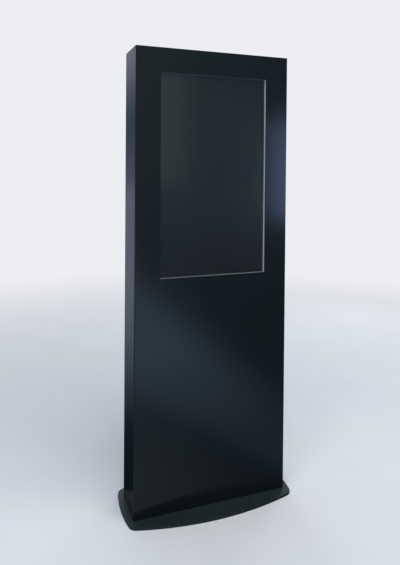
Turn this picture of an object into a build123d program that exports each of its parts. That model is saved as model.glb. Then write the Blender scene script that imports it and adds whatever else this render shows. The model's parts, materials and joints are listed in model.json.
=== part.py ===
from build123d import *
import math
import os

# Floor-standing touchscreen kiosk, in millimetres.
# The origin is at the bottom centre of the base plate. +X is to the right seen from the
# screen side, +Y is to the back, +Z is up, so the screen faces -Y.

# Driving dimensions
BODY_WIDTH = 725.0
BODY_DEPTH = 196.0
TOTAL_HEIGHT = 2040.0
SHEET = 2.0
BEND_RADIUS = 4.0
PLATE_WIDTH = 790.0
PLATE_DEPTH = 390.0
PLATE_THICKNESS = 10.0
FRONT_ARC_RADIUS = 1300.0
SIDE_ARC_RADIUS = 650.0
PLATE_CORNER_RADIUS = 35.0
CUTOUT_WIDTH = 502.0
CUTOUT_HEIGHT = 890.0
CUTOUT_TOP_BORDER = 108.0
SCREEN_RECESS = 15.0
ACTIVE_WIDTH = 498.1
ACTIVE_HEIGHT = 885.6
RETURN_WIDTH = 22.0
DOOR_GAP = 3.0
DOOR_DEPTH = 12.0
LOWER_PANEL_TOP = 150.0
CLEARANCE = 0.2
RUNNING_CLEARANCE = 0.05
EDGE_BREAK = 0.6
OVERCUT = 1.0

# Planes and limits worked out from the driving dimensions
FRONT = -BODY_DEPTH / 2
BACK = BODY_DEPTH / 2
HALF_WIDTH = BODY_WIDTH / 2
INNER_HALF = HALF_WIDTH - SHEET
FRONT_INSIDE = FRONT + SHEET
BACK_INSIDE = BACK - SHEET
BODY_HEIGHT = TOTAL_HEIGHT - PLATE_THICKNESS
DOOR_OPENING_HALF = HALF_WIDTH - RETURN_WIDTH
CUTOUT_TOP = TOTAL_HEIGHT - CUTOUT_TOP_BORDER
CUTOUT_BOTTOM = CUTOUT_TOP - CUTOUT_HEIGHT
CUTOUT_CENTRE = (CUTOUT_TOP + CUTOUT_BOTTOM) / 2

# Screen stack, front to back
TRIM_THICKNESS = 1.5
TRIM_FLANGE = 22.0
GASKET_THICKNESS = 1.0
GLASS_THICKNESS = 4.0
GLASS_MARGIN = 8.0
GLASS_FRONT = FRONT + SCREEN_RECESS
GLASS_BACK = GLASS_FRONT + GLASS_THICKNESS
CLAMP_THICKNESS = 2.0
CLAMP_WIDTH = 20.0
CLAMP_GAP = 0.5
MODULE_FRONT = GLASS_BACK + CLAMP_THICKNESS + CLAMP_GAP
MODULE_DEPTH = 39.5
MODULE_BACK = MODULE_FRONT + MODULE_DEPTH
MODULE_HALF_WIDTH = 267.5
MODULE_HALF_HEIGHT = 462.5
BEZEL_SHEET = 1.2
BEZEL_DEPTH = 30.0
CELL_THICKNESS = 2.5
CELL_MARGIN = 5.0
TRAY_SHEET = 1.5
GASKET_WIDTH = 6.0
BOARD_COVER_HALF_WIDTH = 150.0
BOARD_COVER_LOW = 1290.0
BOARD_COVER_HIGH = 1690.0
BOARD_COVER_DEPTH = 18.0
BOARD_COVER_CHAMFER = 6.0
BOARD_SLOT_X = 70.0
BOARD_SLOT_LENGTH = 90.0
BOARD_SLOT_ROWS = 8
BOARD_SLOT_BORDER = 60.0
CONTROLLER_X = (-185.0, -115.0)
CONTROLLER_Z = (1060.0, 1110.0)
CONTROLLER_DEPTH = 12.0

# Inner frame
TUBE = 30.0
TUBE_WALL = 2.0
RAIL_DEPTH = 20.0
RAIL_WIDTH = 30.0
RAIL_X = 200.0
RAIL_LENGTH = 700.0
RAIL_FLANGE = 12.0
FRAME_FRONT = MODULE_BACK + RAIL_DEPTH
FRAME_BACK = FRAME_FRONT + TUBE
FRAME_MIDDLE = (FRAME_FRONT + FRAME_BACK) / 2
UPRIGHT_INSIDE = 305.0
UPRIGHT_OUTSIDE = UPRIGHT_INSIDE + TUBE
UPRIGHT_X = (UPRIGHT_INSIDE + UPRIGHT_OUTSIDE) / 2
UPRIGHT_TOP = 1990.0
FOOT_PLATE_THICKNESS = 6.0
FOOT_PLATE_HALF_DEPTH = 30.0
FOOT_PLATE_INWARD = 17.0
FOOT_PLATE_OUTWARD = 3.0
CROSS_BAR_HEIGHTS = (1200.0, 1770.0)
BRACKET_HEIGHTS = (300.0, 1000.0, 1965.0)
BRACKET_ARM_HALF = 18.0
BRACKET_LEG_HALF = 25.0
FRAME_BOLT_RADIUS = 3.0
FRAME_BOLT_LENGTH = 12.0
FRAME_BOLT_FLAT = 5.0
FRAME_BOLT_HEAD = 4.0
FAN_PLATE_BOLT_OFFSET = 50.0
SHELF_BOLT_OFFSET = 8.0

# Base plate holes
ANCHOR_X = 240.0
ANCHOR_Y = 55.0
ANCHOR_RADIUS = 6.0
CABLE_ENTRY_X = -130.0
CABLE_ENTRY_Y = 30.0
CABLE_ENTRY_RADIUS = 30.0
BASE_BOLT_RADIUS = 4.0
BASE_BOLT_LENGTH = 12.0
BASE_BOLT_FLAT = 6.5
BASE_BOLT_HEAD = 5.0
BASE_BOLT_HOLE_Z = (0.0, 20.0)
BOLT_PLAY = 0.3
FOOT_BOLT_OFFSET = 20.0
FOOT_BOLT_X = UPRIGHT_INSIDE - 7.0
ANGLE_WIDTH = 20.0
ANGLE_HEIGHT = 30.0
ANGLE_THICKNESS = 2.5
SIDE_ANGLE_BOLT_Y = (-60.0, 40.0)
FRONT_ANGLE_BOLT_X = (-200.0, 200.0)
SIDE_ANGLE_Y = (-70.0, 50.0)
FRONT_ANGLE_X = (-270.0, 270.0)
PANEL_BOLT_X = (-310.0, 0.0, 310.0)
PANEL_FOOT = 26.0
PANEL_BOLT_Y = BACK_INSIDE - PANEL_FOOT / 2
ROOF_FOLD = 22.0
ROOF_FOLD_INSET = 4.0
ROOF_SIDE_FOLD_FRONT = -85.0

# Rear door
STOP_FRONT = BACK - DOOR_DEPTH - 4.7
STOP_BACK = STOP_FRONT + SHEET
STOP_EDGE = DOOR_OPENING_HALF - 18.5
STOP_TAB_FRONT = 55.0
STOP_TAB_LENGTH = 60.0
STOP_TAB_HEIGHTS = (200.0, 480.0, 760.0, 1100.0, 1400.0, 1700.0, 1980.0)
DOOR_HALF = DOOR_OPENING_HALF - DOOR_GAP
DOOR_BOTTOM = LOWER_PANEL_TOP + DOOR_GAP
DOOR_TOP = TOTAL_HEIGHT - SHEET - DOOR_GAP
STOP_LIP = 25.0
SEAL_WIDTH = 12.0
SEAL_THICKNESS = 2.5
HINGE_X = DOOR_OPENING_HALF - DOOR_GAP / 2
HINGE_Y = BACK + 5.0
HINGE_HEIGHTS = (400.0, 1100.0, 1800.0)
HINGE_LENGTH = 80.0
KNUCKLE_RADIUS = 4.5
PIN_RADIUS = 2.5
LEAF_WIDTH = 22.0
HINGE_SCREW_X = 14.0
HINGE_SCREW_Z = (-28.0, 28.0)
SCREW_RADIUS = 2.0
SCREW_HOLE_RADIUS = 2.2
LOCK_X = -DOOR_HALF + 29.5
LOCK_HEIGHTS = (560.0, 1640.0)
LOCK_BARREL_RADIUS = 9.5
LOCK_PLUG_RADIUS = 7.0
CAM_BACK = STOP_FRONT - 0.8
CAM_THICKNESS = 2.5
CAM_SQUARE = 6.0
CAM_HALF_WIDTH = 7.0
CAM_LENGTH = 27.0
LOCK_NUT_FLAT = 12.0
LOCK_NUT_THICKNESS = 4.0

# Fans and vents
FAN_X = 150.0
FAN_Z = 1880.0
FAN_SIZE = 120.0
FAN_DEPTH = 25.0
FAN_BORE = 58.5
FAN_BLADES = 7
FAN_HUB_RADIUS = 20.0
FAN_SHAFT_RADIUS = 2.0
FAN_SCREW_OFFSET = 52.5
FAN_PLATE_HALF_HEIGHT = 64.0
SPOKE_WIDTH = 5.0
FAN_BLADE_PITCH = 35.0
FAN_BLADE_SIZE = (22.0, 1.8)
GUARD_RADII = (26.0, 38.0, 50.0, 60.0)
GUARD_CENTRE_RADIUS = 14.0
GUARD_WIRE = 2.0
GUARD_THICKNESS = 1.6
GUARD_ARM = (150.0, 5.0)
EXHAUST_ROWS = 11
INTAKE_ROWS = 13
SLOT_WIDTH = 4.0
SLOT_LENGTH = 110.0
SLOT_PITCH = 10.0
SLOT_REACH = 3.0
INTAKE_Z = 330.0
INTAKE_COLUMNS = (-130.0, 0.0, 130.0)
FILTER_HALF = (205.0, 80.0)
FILTER_SHEET = 1.5
FILTER_LIP = 12.0
FILTER_FRAME_DEPTH = 11.0
FILTER_PLAY = 0.3

# Electronics
SHELF_TOP = 560.0
SHELF_FRONT = -75.0
SHELF_BACK = 70.0
SHELF_FLANGE = 40.0
SHELF_LIP = 15.0
SHELF_BOLT_Z = SHELF_TOP - 22.0
PLAYER_X = (-270.0, -70.0)
PLAYER_Y = (-70.0, 60.0)
PLAYER_HEIGHT = 50.0
FIN_COUNT = 18
FIN_PITCH = 10.0
FIN_GAP = 5.0
FIN_DEPTH = 6.0
FIN_BORDER = 15.0
BUTTON_RADIUS = 6.0
BUTTON_TRAVEL = 1.5
BUTTON_LENGTH = 7.0
BUTTON_X = -100.0
BUTTON_Z = SHELF_TOP + 22.0
STRIP_X = (20.0, 260.0)
STRIP_HALF_DEPTH = 25.0
STRIP_HEIGHT = 40.0
OUTLETS_IN_USE = (60.0, 150.0, 235.0)
OUTLETS_FREE = (105.0, 195.0)
OUTLET_RADIUS = 10.0
OUTLET_DEPTH = 3.0
INLET_X = 255.0
INLET_Z = 85.0
INLET_HALF_WIDTH = 16.0
INLET_BELOW = 40.0
INLET_DEPTH = 30.0
INLET_FLANGE = 5.0
INLET_PROUD = 2.5
INLET_SOCKET_HALF = (12.5, 9.0)
INLET_SOCKET_DEPTH = 18.0
INLET_PINS = ((-7.0, -2.0), (7.0, -2.0), (0.0, 2.5))
INLET_PIN_HALF = (1.0, 2.0)
ROCKER_WELL_HALF = (12.0, 8.5)
ROCKER_HALF_WIDTH = 11.5
ROCKER_OFFSET = 26.0
ROCKER_TILT = 10.0
ROCKER_PIN_RADIUS = 1.5
ROCKER_PIN_HALF = 13.5
MAINS_RADIUS = 3.5
SIGNAL_RADIUS = 2.5
FAN_LEAD_RADIUS = 1.8
FAN_LEAD_X = 275.0
FAN_LEAD_Y = FRAME_BACK + 8.0
PLUG_LENGTH = 25.0
STRIP_PLUG_HALF = 12.0
PLAYER_PLUG_HALF = (8.0, 5.0)
PLAYER_PLUG_Y = (-40.0, -10.0, 30.0)
PLAYER_PLUG_Z = SHELF_TOP + 25.0
STRIP_PLUG_TOP = SHELF_TOP + STRIP_HEIGHT + PLUG_LENGTH
CABLE_PLANE = MODULE_BACK + 10.0
CLIP_HEIGHT = 10.0
CLIP_WALL = 6.0
CLIP_REACH = 6.5


def block(x, y, z):
    """Box between a low and a high limit along each axis."""
    size = Box(x[1] - x[0], y[1] - y[0], z[1] - z[0])
    return Pos((x[0] + x[1]) / 2, (y[0] + y[1]) / 2, (z[0] + z[1]) / 2) * size


def rod_x(x, y, z, radius):
    """Round bar along X between the two limits in x."""
    bar = Rot(0, 90, 0) * Cylinder(radius, x[1] - x[0])
    return Pos((x[0] + x[1]) / 2, y, z) * bar


def rod_y(x, y, z, radius):
    """Round bar along Y between the two limits in y."""
    bar = Rot(90, 0, 0) * Cylinder(radius, y[1] - y[0])
    return Pos(x, (y[0] + y[1]) / 2, z) * bar


def rod_z(x, y, z, radius):
    """Round bar along Z between the two limits in z."""
    return Pos(x, y, (z[0] + z[1]) / 2) * Cylinder(radius, z[1] - z[0])


def group(pieces):
    """Separate solids that share one node."""
    return Compound([solid for piece in pieces for solid in piece.solids()])


def slot_y(x, z, length, width, y):
    """Round-ended horizontal slot cut along Y."""
    half = (length - width) / 2
    slot = block((x - half, x + half), y, (z - width / 2, z + width / 2))
    for side in (-1, 1):
        slot += rod_y(x + side * half, y, z, width / 2)
    return slot


def ring_y(inner_half, outer_half, y, centre_z):
    """Rectangular ring in the XZ plane, given as half sizes (x, z)."""
    outer = block(
        (-outer_half[0], outer_half[0]), y, (centre_z - outer_half[1], centre_z + outer_half[1])
    )
    inner = block(
        (-inner_half[0], inner_half[0]), y, (centre_z - inner_half[1], centre_z + inner_half[1])
    )
    return outer - inner


def mirrored_x(shape):
    """The same shape on the other side of the kiosk."""
    return mirror(shape, about=Plane.YZ)


# Base and foot


def base_bolt_places():
    """Bolt centres (x, y) and the height of the face under each bolt head."""
    places = []
    foot_top = PLATE_THICKNESS + FOOT_PLATE_THICKNESS
    angle_top = PLATE_THICKNESS + ANGLE_THICKNESS
    for side in (-1, 1):
        for y in (FRAME_MIDDLE - FOOT_BOLT_OFFSET, FRAME_MIDDLE + FOOT_BOLT_OFFSET):
            places.append((side * FOOT_BOLT_X, y, foot_top))
        for y in SIDE_ANGLE_BOLT_Y:
            places.append((side * (INNER_HALF - ANGLE_WIDTH / 2), y, angle_top))
    for x in FRONT_ANGLE_BOLT_X:
        places.append((x, FRONT_INSIDE + ANGLE_WIDTH / 2, angle_top))
    for x in PANEL_BOLT_X:
        places.append((x, PANEL_BOLT_Y, PLATE_THICKNESS + SHEET))
    return places


def base_plate():
    """Steel foot plate whose four sides are shallow arcs."""
    outline = Pos(0, FRONT_ARC_RADIUS - PLATE_DEPTH / 2) * Circle(FRONT_ARC_RADIUS)
    outline &= Pos(0, PLATE_DEPTH / 2 - FRONT_ARC_RADIUS) * Circle(FRONT_ARC_RADIUS)
    outline &= Pos(SIDE_ARC_RADIUS - PLATE_WIDTH / 2, 0) * Circle(SIDE_ARC_RADIUS)
    outline &= Pos(PLATE_WIDTH / 2 - SIDE_ARC_RADIUS, 0) * Circle(SIDE_ARC_RADIUS)
    outline = fillet(outline.vertices(), PLATE_CORNER_RADIUS)
    plate = extrude(outline, PLATE_THICKNESS)
    plate = chamfer(plate.edges().group_by(Axis.Z)[-1], EDGE_BREAK)
    through = (-OVERCUT, PLATE_THICKNESS + OVERCUT)
    for x in (-ANCHOR_X, ANCHOR_X):
        for y in (-ANCHOR_Y, ANCHOR_Y):
            plate -= rod_z(x, y, through, ANCHOR_RADIUS)
    plate -= rod_z(CABLE_ENTRY_X, CABLE_ENTRY_Y, through, CABLE_ENTRY_RADIUS)
    for x, y, top in base_bolt_places():
        plate -= rod_z(x, y, through, BASE_BOLT_RADIUS + BOLT_PLAY)
    return plate


def foot_angles():
    """Steel angles that tie the shell's front and sides to the base plate."""
    low = PLATE_THICKNESS
    flat = (low, low + ANGLE_THICKNESS)
    tall = (low, low + ANGLE_HEIGHT)
    side_x = (INNER_HALF - ANGLE_WIDTH, INNER_HALF)
    right = block(side_x, SIDE_ANGLE_Y, flat)
    right += block((INNER_HALF - ANGLE_THICKNESS, INNER_HALF), SIDE_ANGLE_Y, tall)
    front = block(FRONT_ANGLE_X, (FRONT_INSIDE, FRONT_INSIDE + ANGLE_WIDTH), flat)
    front += block(FRONT_ANGLE_X, (FRONT_INSIDE, FRONT_INSIDE + ANGLE_THICKNESS), tall)
    for y in SIDE_ANGLE_BOLT_Y:
        hole_x = INNER_HALF - ANGLE_WIDTH / 2
        right -= rod_z(hole_x, y, BASE_BOLT_HOLE_Z, BASE_BOLT_RADIUS + BOLT_PLAY)
    for x in FRONT_ANGLE_BOLT_X:
        hole_y = FRONT_INSIDE + ANGLE_WIDTH / 2
        front -= rod_z(x, hole_y, BASE_BOLT_HOLE_Z, BASE_BOLT_RADIUS + BOLT_PLAY)
    return group([right, mirrored_x(right), front])


def base_bolts():
    """Hexagon bolts that screw into the base plate from above."""
    bolts = []
    for x, y, top in base_bolt_places():
        shank = rod_z(x, y, (top - BASE_BOLT_LENGTH, top + OVERCUT), BASE_BOLT_RADIUS)
        hexagon = RegularPolygon(BASE_BOLT_FLAT, 6, major_radius=False)
        bolts.append(shank + Pos(x, y, top) * extrude(hexagon, BASE_BOLT_HEAD))
    return group(bolts)


# Casing


def front_shell():
    """Front, both sides and the rear returns, folded from one sheet."""
    outer = extrude(RectangleRounded(BODY_WIDTH, BODY_DEPTH, BEND_RADIUS), BODY_HEIGHT)
    inner_radius = BEND_RADIUS - SHEET
    inner_size = (BODY_WIDTH - 2 * SHEET, BODY_DEPTH - 2 * SHEET)
    inner = extrude(RectangleRounded(*inner_size, inner_radius), BODY_HEIGHT)
    shell = Pos(0, 0, PLATE_THICKNESS) * (outer - inner)
    opening = (-DOOR_OPENING_HALF, DOOR_OPENING_HALF)
    shell -= block(opening, (BACK_INSIDE - OVERCUT, BACK + OVERCUT), (0, TOTAL_HEIGHT + OVERCUT))
    half = CUTOUT_WIDTH / 2
    shell -= block((-half, half), (FRONT - OVERCUT, 0), (CUTOUT_BOTTOM, CUTOUT_TOP))
    for x, z in hinge_screw_places():
        hole_y = (BACK_INSIDE - OVERCUT, BACK + OVERCUT)
        shell -= rod_y(2 * HINGE_X - x, hole_y, z, SCREW_HOLE_RADIUS)
    return shell


def top_cover():
    """Inset roof sheet with folded edges and the door's top stop."""
    radius = BEND_RADIUS - SHEET
    width = BODY_WIDTH - 2 * SHEET - 2 * CLEARANCE
    depth = BODY_DEPTH - 2 * SHEET - 2 * CLEARANCE
    roof = Pos(0, 0, TOTAL_HEIGHT - SHEET) * extrude(RectangleRounded(width, depth, radius), SHEET)
    tongue_half = DOOR_OPENING_HALF - CLEARANCE
    sheet_z = (TOTAL_HEIGHT - SHEET, TOTAL_HEIGHT)
    roof += block((-tongue_half, tongue_half), (depth / 2 - BEND_RADIUS, BACK), sheet_z)
    fold_z = (TOTAL_HEIGHT - ROOF_FOLD, TOTAL_HEIGHT - SHEET)
    fold_half = width / 2 - ROOF_FOLD_INSET
    roof += block((-fold_half, fold_half), (-depth / 2, -depth / 2 + SHEET), fold_z)
    for side in (-1, 1):
        edge = sorted((side * (width / 2 - SHEET), side * width / 2))
        roof += block(edge, (ROOF_SIDE_FOLD_FRONT, STOP_TAB_FRONT - 5.0), fold_z)
    stop_z = (DOOR_TOP - STOP_LIP, TOTAL_HEIGHT - SHEET)
    stop_half = STOP_EDGE - 0.5
    roof += block((-stop_half, stop_half), (STOP_FRONT, STOP_BACK), stop_z)
    return roof


def rear_lower_panel():
    """Fixed panel below the door, with the inlet cut-out and the door's lower stop."""
    half = DOOR_OPENING_HALF - 1.0
    low = PLATE_THICKNESS + CLEARANCE
    panel = block((-half, half), (BACK_INSIDE, BACK), (low, LOWER_PANEL_TOP))
    fold_z = (LOWER_PANEL_TOP - SHEET, LOWER_PANEL_TOP)
    panel += block((-half, half), (STOP_FRONT, BACK), fold_z)
    lip_half = STOP_EDGE - 0.5
    lip_z = (LOWER_PANEL_TOP - SHEET, DOOR_BOTTOM + 19.0)
    panel += block((-lip_half, lip_half), (STOP_FRONT, STOP_BACK), lip_z)
    foot_y = (BACK_INSIDE - PANEL_FOOT, BACK)
    panel += block((-half, half), foot_y, (PLATE_THICKNESS, PLATE_THICKNESS + SHEET))
    for x in PANEL_BOLT_X:
        panel -= rod_z(x, PANEL_BOLT_Y, BASE_BOLT_HOLE_Z, BASE_BOLT_RADIUS + BOLT_PLAY)
    body_x, body_z = inlet_body_limits()
    panel -= block(body_x, (BACK_INSIDE - OVERCUT, BACK + OVERCUT), body_z)
    return panel


def door_stop(side):
    """Flat strip that the door closes against, on tabs welded to a side sheet."""
    height = (LOWER_PANEL_TOP + SHEET, TOTAL_HEIGHT - SHEET - 2.0)
    stop = [block((STOP_EDGE, INNER_HALF), (STOP_FRONT, STOP_BACK), height)]
    for z in STOP_TAB_HEIGHTS:
        tab_z = (z - STOP_TAB_LENGTH / 2, z + STOP_TAB_LENGTH / 2)
        stop.append(block((INNER_HALF - SHEET, INNER_HALF), (STOP_TAB_FRONT, STOP_FRONT), tab_z))
    pieces = group(stop)
    return pieces if side > 0 else mirrored_x(pieces)


# Inner frame


def upright(side):
    """Square tube on a welded foot plate, from the base plate to the top."""
    low = PLATE_THICKNESS
    tube_x = (UPRIGHT_INSIDE, UPRIGHT_OUTSIDE)
    tube_y = (FRAME_FRONT, FRAME_BACK)
    foot_top = low + FOOT_PLATE_THICKNESS
    post = block(tube_x, tube_y, (foot_top, UPRIGHT_TOP))
    bore_x = (UPRIGHT_INSIDE + TUBE_WALL, UPRIGHT_OUTSIDE - TUBE_WALL)
    bore_y = (FRAME_FRONT + TUBE_WALL, FRAME_BACK - TUBE_WALL)
    post -= block(bore_x, bore_y, (foot_top, UPRIGHT_TOP + OVERCUT))
    foot_x = (UPRIGHT_INSIDE - FOOT_PLATE_INWARD, UPRIGHT_OUTSIDE + FOOT_PLATE_OUTWARD)
    foot_y = (FRAME_MIDDLE - FOOT_PLATE_HALF_DEPTH, FRAME_MIDDLE + FOOT_PLATE_HALF_DEPTH)
    foot = block(foot_x, foot_y, (low, foot_top))
    for y in (FRAME_MIDDLE - FOOT_BOLT_OFFSET, FRAME_MIDDLE + FOOT_BOLT_OFFSET):
        foot -= rod_z(FOOT_BOLT_X, y, BASE_BOLT_HOLE_Z, BASE_BOLT_RADIUS + BOLT_PLAY)
    hole = FRAME_BOLT_RADIUS + BOLT_PLAY
    for z in rear_bolt_heights():
        post -= rod_y(UPRIGHT_X, (FRAME_MIDDLE, FRAME_BACK + OVERCUT), z, hole)
    for y in shelf_bolt_places():
        post -= rod_x((UPRIGHT_INSIDE - OVERCUT, UPRIGHT_X), y, SHELF_BOLT_Z, hole)
    pieces = group([post, foot])
    return pieces if side > 0 else mirrored_x(pieces)


def cross_bars():
    """Two square tubes welded between the uprights to carry the display."""
    bars = []
    half = UPRIGHT_INSIDE
    for z in CROSS_BAR_HEIGHTS:
        bar = block((-half, half), (FRAME_FRONT, FRAME_BACK), (z - TUBE / 2, z + TUBE / 2))
        wall = TUBE / 2 - TUBE_WALL
        bore_y = (FRAME_FRONT + TUBE_WALL, FRAME_BACK - TUBE_WALL)
        bar -= block((-half - OVERCUT, half + OVERCUT), bore_y, (z - wall, z + wall))
        for x in (-RAIL_X, RAIL_X):
            hole_y = (FRAME_FRONT - OVERCUT, FRAME_BACK + OVERCUT)
            bar -= rod_y(x, hole_y, z, FRAME_BOLT_RADIUS + BOLT_PLAY)
        bars.append(bar)
    return group(bars)


def rear_bolt_heights():
    """Heights of the bolts in the back face of each upright."""
    return BRACKET_HEIGHTS + (FAN_Z - FAN_PLATE_BOLT_OFFSET, FAN_Z + FAN_PLATE_BOLT_OFFSET)


def shelf_bolt_places():
    """Y places of the bolts that hold the shelf to each upright."""
    return (FRAME_MIDDLE - SHELF_BOLT_OFFSET, FRAME_MIDDLE + SHELF_BOLT_OFFSET)


def shell_brackets():
    """Folded brackets welded to the shell's sides and bolted behind the uprights."""
    brackets = []
    for z in BRACKET_HEIGHTS:
        arm_x = (UPRIGHT_INSIDE, INNER_HALF)
        arm_z = (z - BRACKET_ARM_HALF, z + BRACKET_ARM_HALF)
        bracket = block(arm_x, (FRAME_BACK, FRAME_BACK + SHEET), arm_z)
        leg_x = (INNER_HALF - SHEET, INNER_HALF)
        leg_z = (z - BRACKET_LEG_HALF, z + BRACKET_LEG_HALF)
        bracket += block(leg_x, (FRAME_FRONT, FRAME_BACK + SHEET), leg_z)
        hole_y = (FRAME_BACK - OVERCUT, FRAME_BACK + SHEET + OVERCUT)
        bracket -= rod_y(UPRIGHT_X, hole_y, z, FRAME_BOLT_RADIUS + BOLT_PLAY)
        brackets += [bracket, mirrored_x(bracket)]
    return group(brackets)


def frame_bolts():
    """Hexagon bolts of the brackets, fan plate, shelf and display rails."""
    bolts = []
    head_back = FRAME_BACK + SHEET
    head = extrude(RegularPolygon(FRAME_BOLT_FLAT, 6, major_radius=False), FRAME_BOLT_HEAD)
    radius = FRAME_BOLT_RADIUS
    for side in (-1, 1):
        for z in rear_bolt_heights():
            shank_y = (head_back - FRAME_BOLT_LENGTH, head_back + OVERCUT)
            shank = rod_y(side * UPRIGHT_X, shank_y, z, radius)
            bolts.append(shank + Pos(side * UPRIGHT_X, head_back, z) * Rot(-90, 0, 0) * head)
        for z in CROSS_BAR_HEIGHTS:
            shank = rod_y(side * RAIL_X, (FRAME_FRONT - 8.0, FRAME_BACK + OVERCUT), z, radius)
            bolts.append(shank + Pos(side * RAIL_X, FRAME_BACK, z) * Rot(-90, 0, 0) * head)
        for y in shelf_bolt_places():
            face = UPRIGHT_INSIDE - SHEET
            ends = sorted((side * (face - OVERCUT), side * (face + 10.0)))
            shank = rod_x(ends, y, SHELF_BOLT_Z, radius)
            bolts.append(shank + Pos(side * face, y, SHELF_BOLT_Z) * Rot(0, -side * 90, 0) * head)
    return group(bolts)


# Screen


def screen_trim():
    """Four mitred aluminium angles that line the cut-out, as (sides, ends)."""
    half = (CUTOUT_WIDTH / 2, CUTOUT_HEIGHT / 2)
    leg_outer = (half[0] + TRIM_THICKNESS, half[1] + TRIM_THICKNESS)
    leg_back = GLASS_FRONT - GASKET_THICKNESS
    ring = ring_y(half, leg_outer, (FRONT_INSIDE, leg_back), CUTOUT_CENTRE)
    flange_outer = (half[0] + TRIM_FLANGE, half[1] + TRIM_FLANGE)
    flange_y = (FRONT_INSIDE, FRONT_INSIDE + TRIM_THICKNESS)
    ring += ring_y(half, flange_outer, flange_y, CUTOUT_CENTRE)
    reach = TRIM_FLANGE + 5.0
    side_wedge = Polygon(
        (half[0] - 1.0, -half[1] + 1.0),
        (half[0] + reach, -half[1] - reach),
        (half[0] + reach, half[1] + reach),
        (half[0] - 1.0, half[1] - 1.0),
        align=None,
    )
    end_wedge = Polygon(
        (-half[0] + 1.0, half[1] - 1.0),
        (half[0] - 1.0, half[1] - 1.0),
        (half[0] + reach, half[1] + reach),
        (-half[0] - reach, half[1] + reach),
        align=None,
    )
    side_prism = Pos(0, 0, CUTOUT_CENTRE) * Rot(90, 0, 0) * extrude(side_wedge, 150.0)
    end_prism = Pos(0, 0, CUTOUT_CENTRE) * Rot(90, 0, 0) * extrude(end_wedge, 150.0)
    right = ring & side_prism
    top = ring & end_prism
    middle = Plane.XY.offset(CUTOUT_CENTRE)
    return group([right, mirrored_x(right)]), group([top, mirror(top, about=middle)])


def glass_gasket():
    """Foam tape between the trim and the glass."""
    half = (CUTOUT_WIDTH / 2 + CLEARANCE, CUTOUT_HEIGHT / 2 + CLEARANCE)
    outer = (half[0] + GASKET_WIDTH, half[1] + GASKET_WIDTH)
    return ring_y(half, outer, (GLASS_FRONT - GASKET_THICKNESS, GLASS_FRONT), CUTOUT_CENTRE)


def touch_glass():
    """Toughened touch-sensor glass, a little larger than the cut-out."""
    half_x = CUTOUT_WIDTH / 2 + GLASS_MARGIN
    half_z = CUTOUT_HEIGHT / 2 + GLASS_MARGIN
    limits_z = (CUTOUT_CENTRE - half_z, CUTOUT_CENTRE + half_z)
    glass = block((-half_x, half_x), (GLASS_FRONT, GLASS_BACK), limits_z)
    return chamfer(glass.edges(), 0.5)


def glass_clamp():
    """Z-shaped clamp for the right-hand edge at the height of the cut-out's centre."""
    edge = CUTOUT_WIDTH / 2
    width = (CUTOUT_CENTRE - CLAMP_WIDTH / 2, CUTOUT_CENTRE + CLAMP_WIDTH / 2)
    foot_y = (FRONT_INSIDE + TRIM_THICKNESS, FRONT_INSIDE + TRIM_THICKNESS + CLAMP_THICKNESS)
    clamp = block((edge + 9.0, edge + 21.0), foot_y, width)
    clamp += block((edge + 9.0, edge + 11.0), (foot_y[0], GLASS_BACK + CLAMP_THICKNESS), width)
    finger_y = (GLASS_BACK, GLASS_BACK + CLAMP_THICKNESS)
    clamp += block((edge + 2.0, edge + 11.0), finger_y, width)
    return clamp


def glass_clamps():
    """Clamps round the glass: four on each side, two at each end."""
    side_clamp = glass_clamp()
    clamps = []
    for step in (-3, -1, 1, 3):
        placed = Pos(0, 0, step * CUTOUT_HEIGHT / 8) * side_clamp
        clamps += [placed, mirrored_x(placed)]
    rise = (CUTOUT_HEIGHT - CUTOUT_WIDTH) / 2
    pivot = Pos(0, 0, CUTOUT_CENTRE)
    for end in (-1, 1):
        turned = pivot * Rot(0, -end * 90, 0) * Pos(0, 0, -CUTOUT_CENTRE) * side_clamp
        for x in (-CUTOUT_WIDTH / 4, CUTOUT_WIDTH / 4):
            clamps.append(Pos(x, 0, end * rise) * turned)
    return group(clamps)


def lcd_bezel():
    """Thin steel frame round the front and sides of the display module."""
    outer = (MODULE_HALF_WIDTH, MODULE_HALF_HEIGHT)
    window = (ACTIVE_WIDTH / 2 + 1.0, ACTIVE_HEIGHT / 2 + 1.0)
    lip_y = (MODULE_FRONT, MODULE_FRONT + BEZEL_SHEET)
    bezel = ring_y(window, outer, lip_y, CUTOUT_CENTRE)
    wall = (outer[0] - BEZEL_SHEET, outer[1] - BEZEL_SHEET)
    bezel += ring_y(wall, outer, (MODULE_FRONT, MODULE_FRONT + BEZEL_DEPTH), CUTOUT_CENTRE)
    return bezel


def lcd_cell():
    """The liquid-crystal cell with its polarisers."""
    front = MODULE_FRONT + BEZEL_SHEET + CLEARANCE
    half_x = ACTIVE_WIDTH / 2 + CELL_MARGIN
    half_z = ACTIVE_HEIGHT / 2 + CELL_MARGIN
    limits_z = (CUTOUT_CENTRE - half_z, CUTOUT_CENTRE + half_z)
    return block((-half_x, half_x), (front, front + CELL_THICKNESS), limits_z)


def backlight_tray():
    """Pressed rear tray of the display module, open towards the cell."""
    front = MODULE_FRONT + BEZEL_SHEET + CELL_THICKNESS + 3 * CLEARANCE
    half_x = MODULE_HALF_WIDTH - BEZEL_SHEET - CLEARANCE
    half_z = MODULE_HALF_HEIGHT - BEZEL_SHEET - CLEARANCE
    outer_z = (CUTOUT_CENTRE - half_z, CUTOUT_CENTRE + half_z)
    tray = block((-half_x, half_x), (front, MODULE_BACK), outer_z)
    inner_x = (-half_x + TRAY_SHEET, half_x - TRAY_SHEET)
    inner_z = (outer_z[0] + TRAY_SHEET, outer_z[1] - TRAY_SHEET)
    tray -= block(inner_x, (front - OVERCUT, MODULE_BACK - TRAY_SHEET), inner_z)
    return tray


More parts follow.
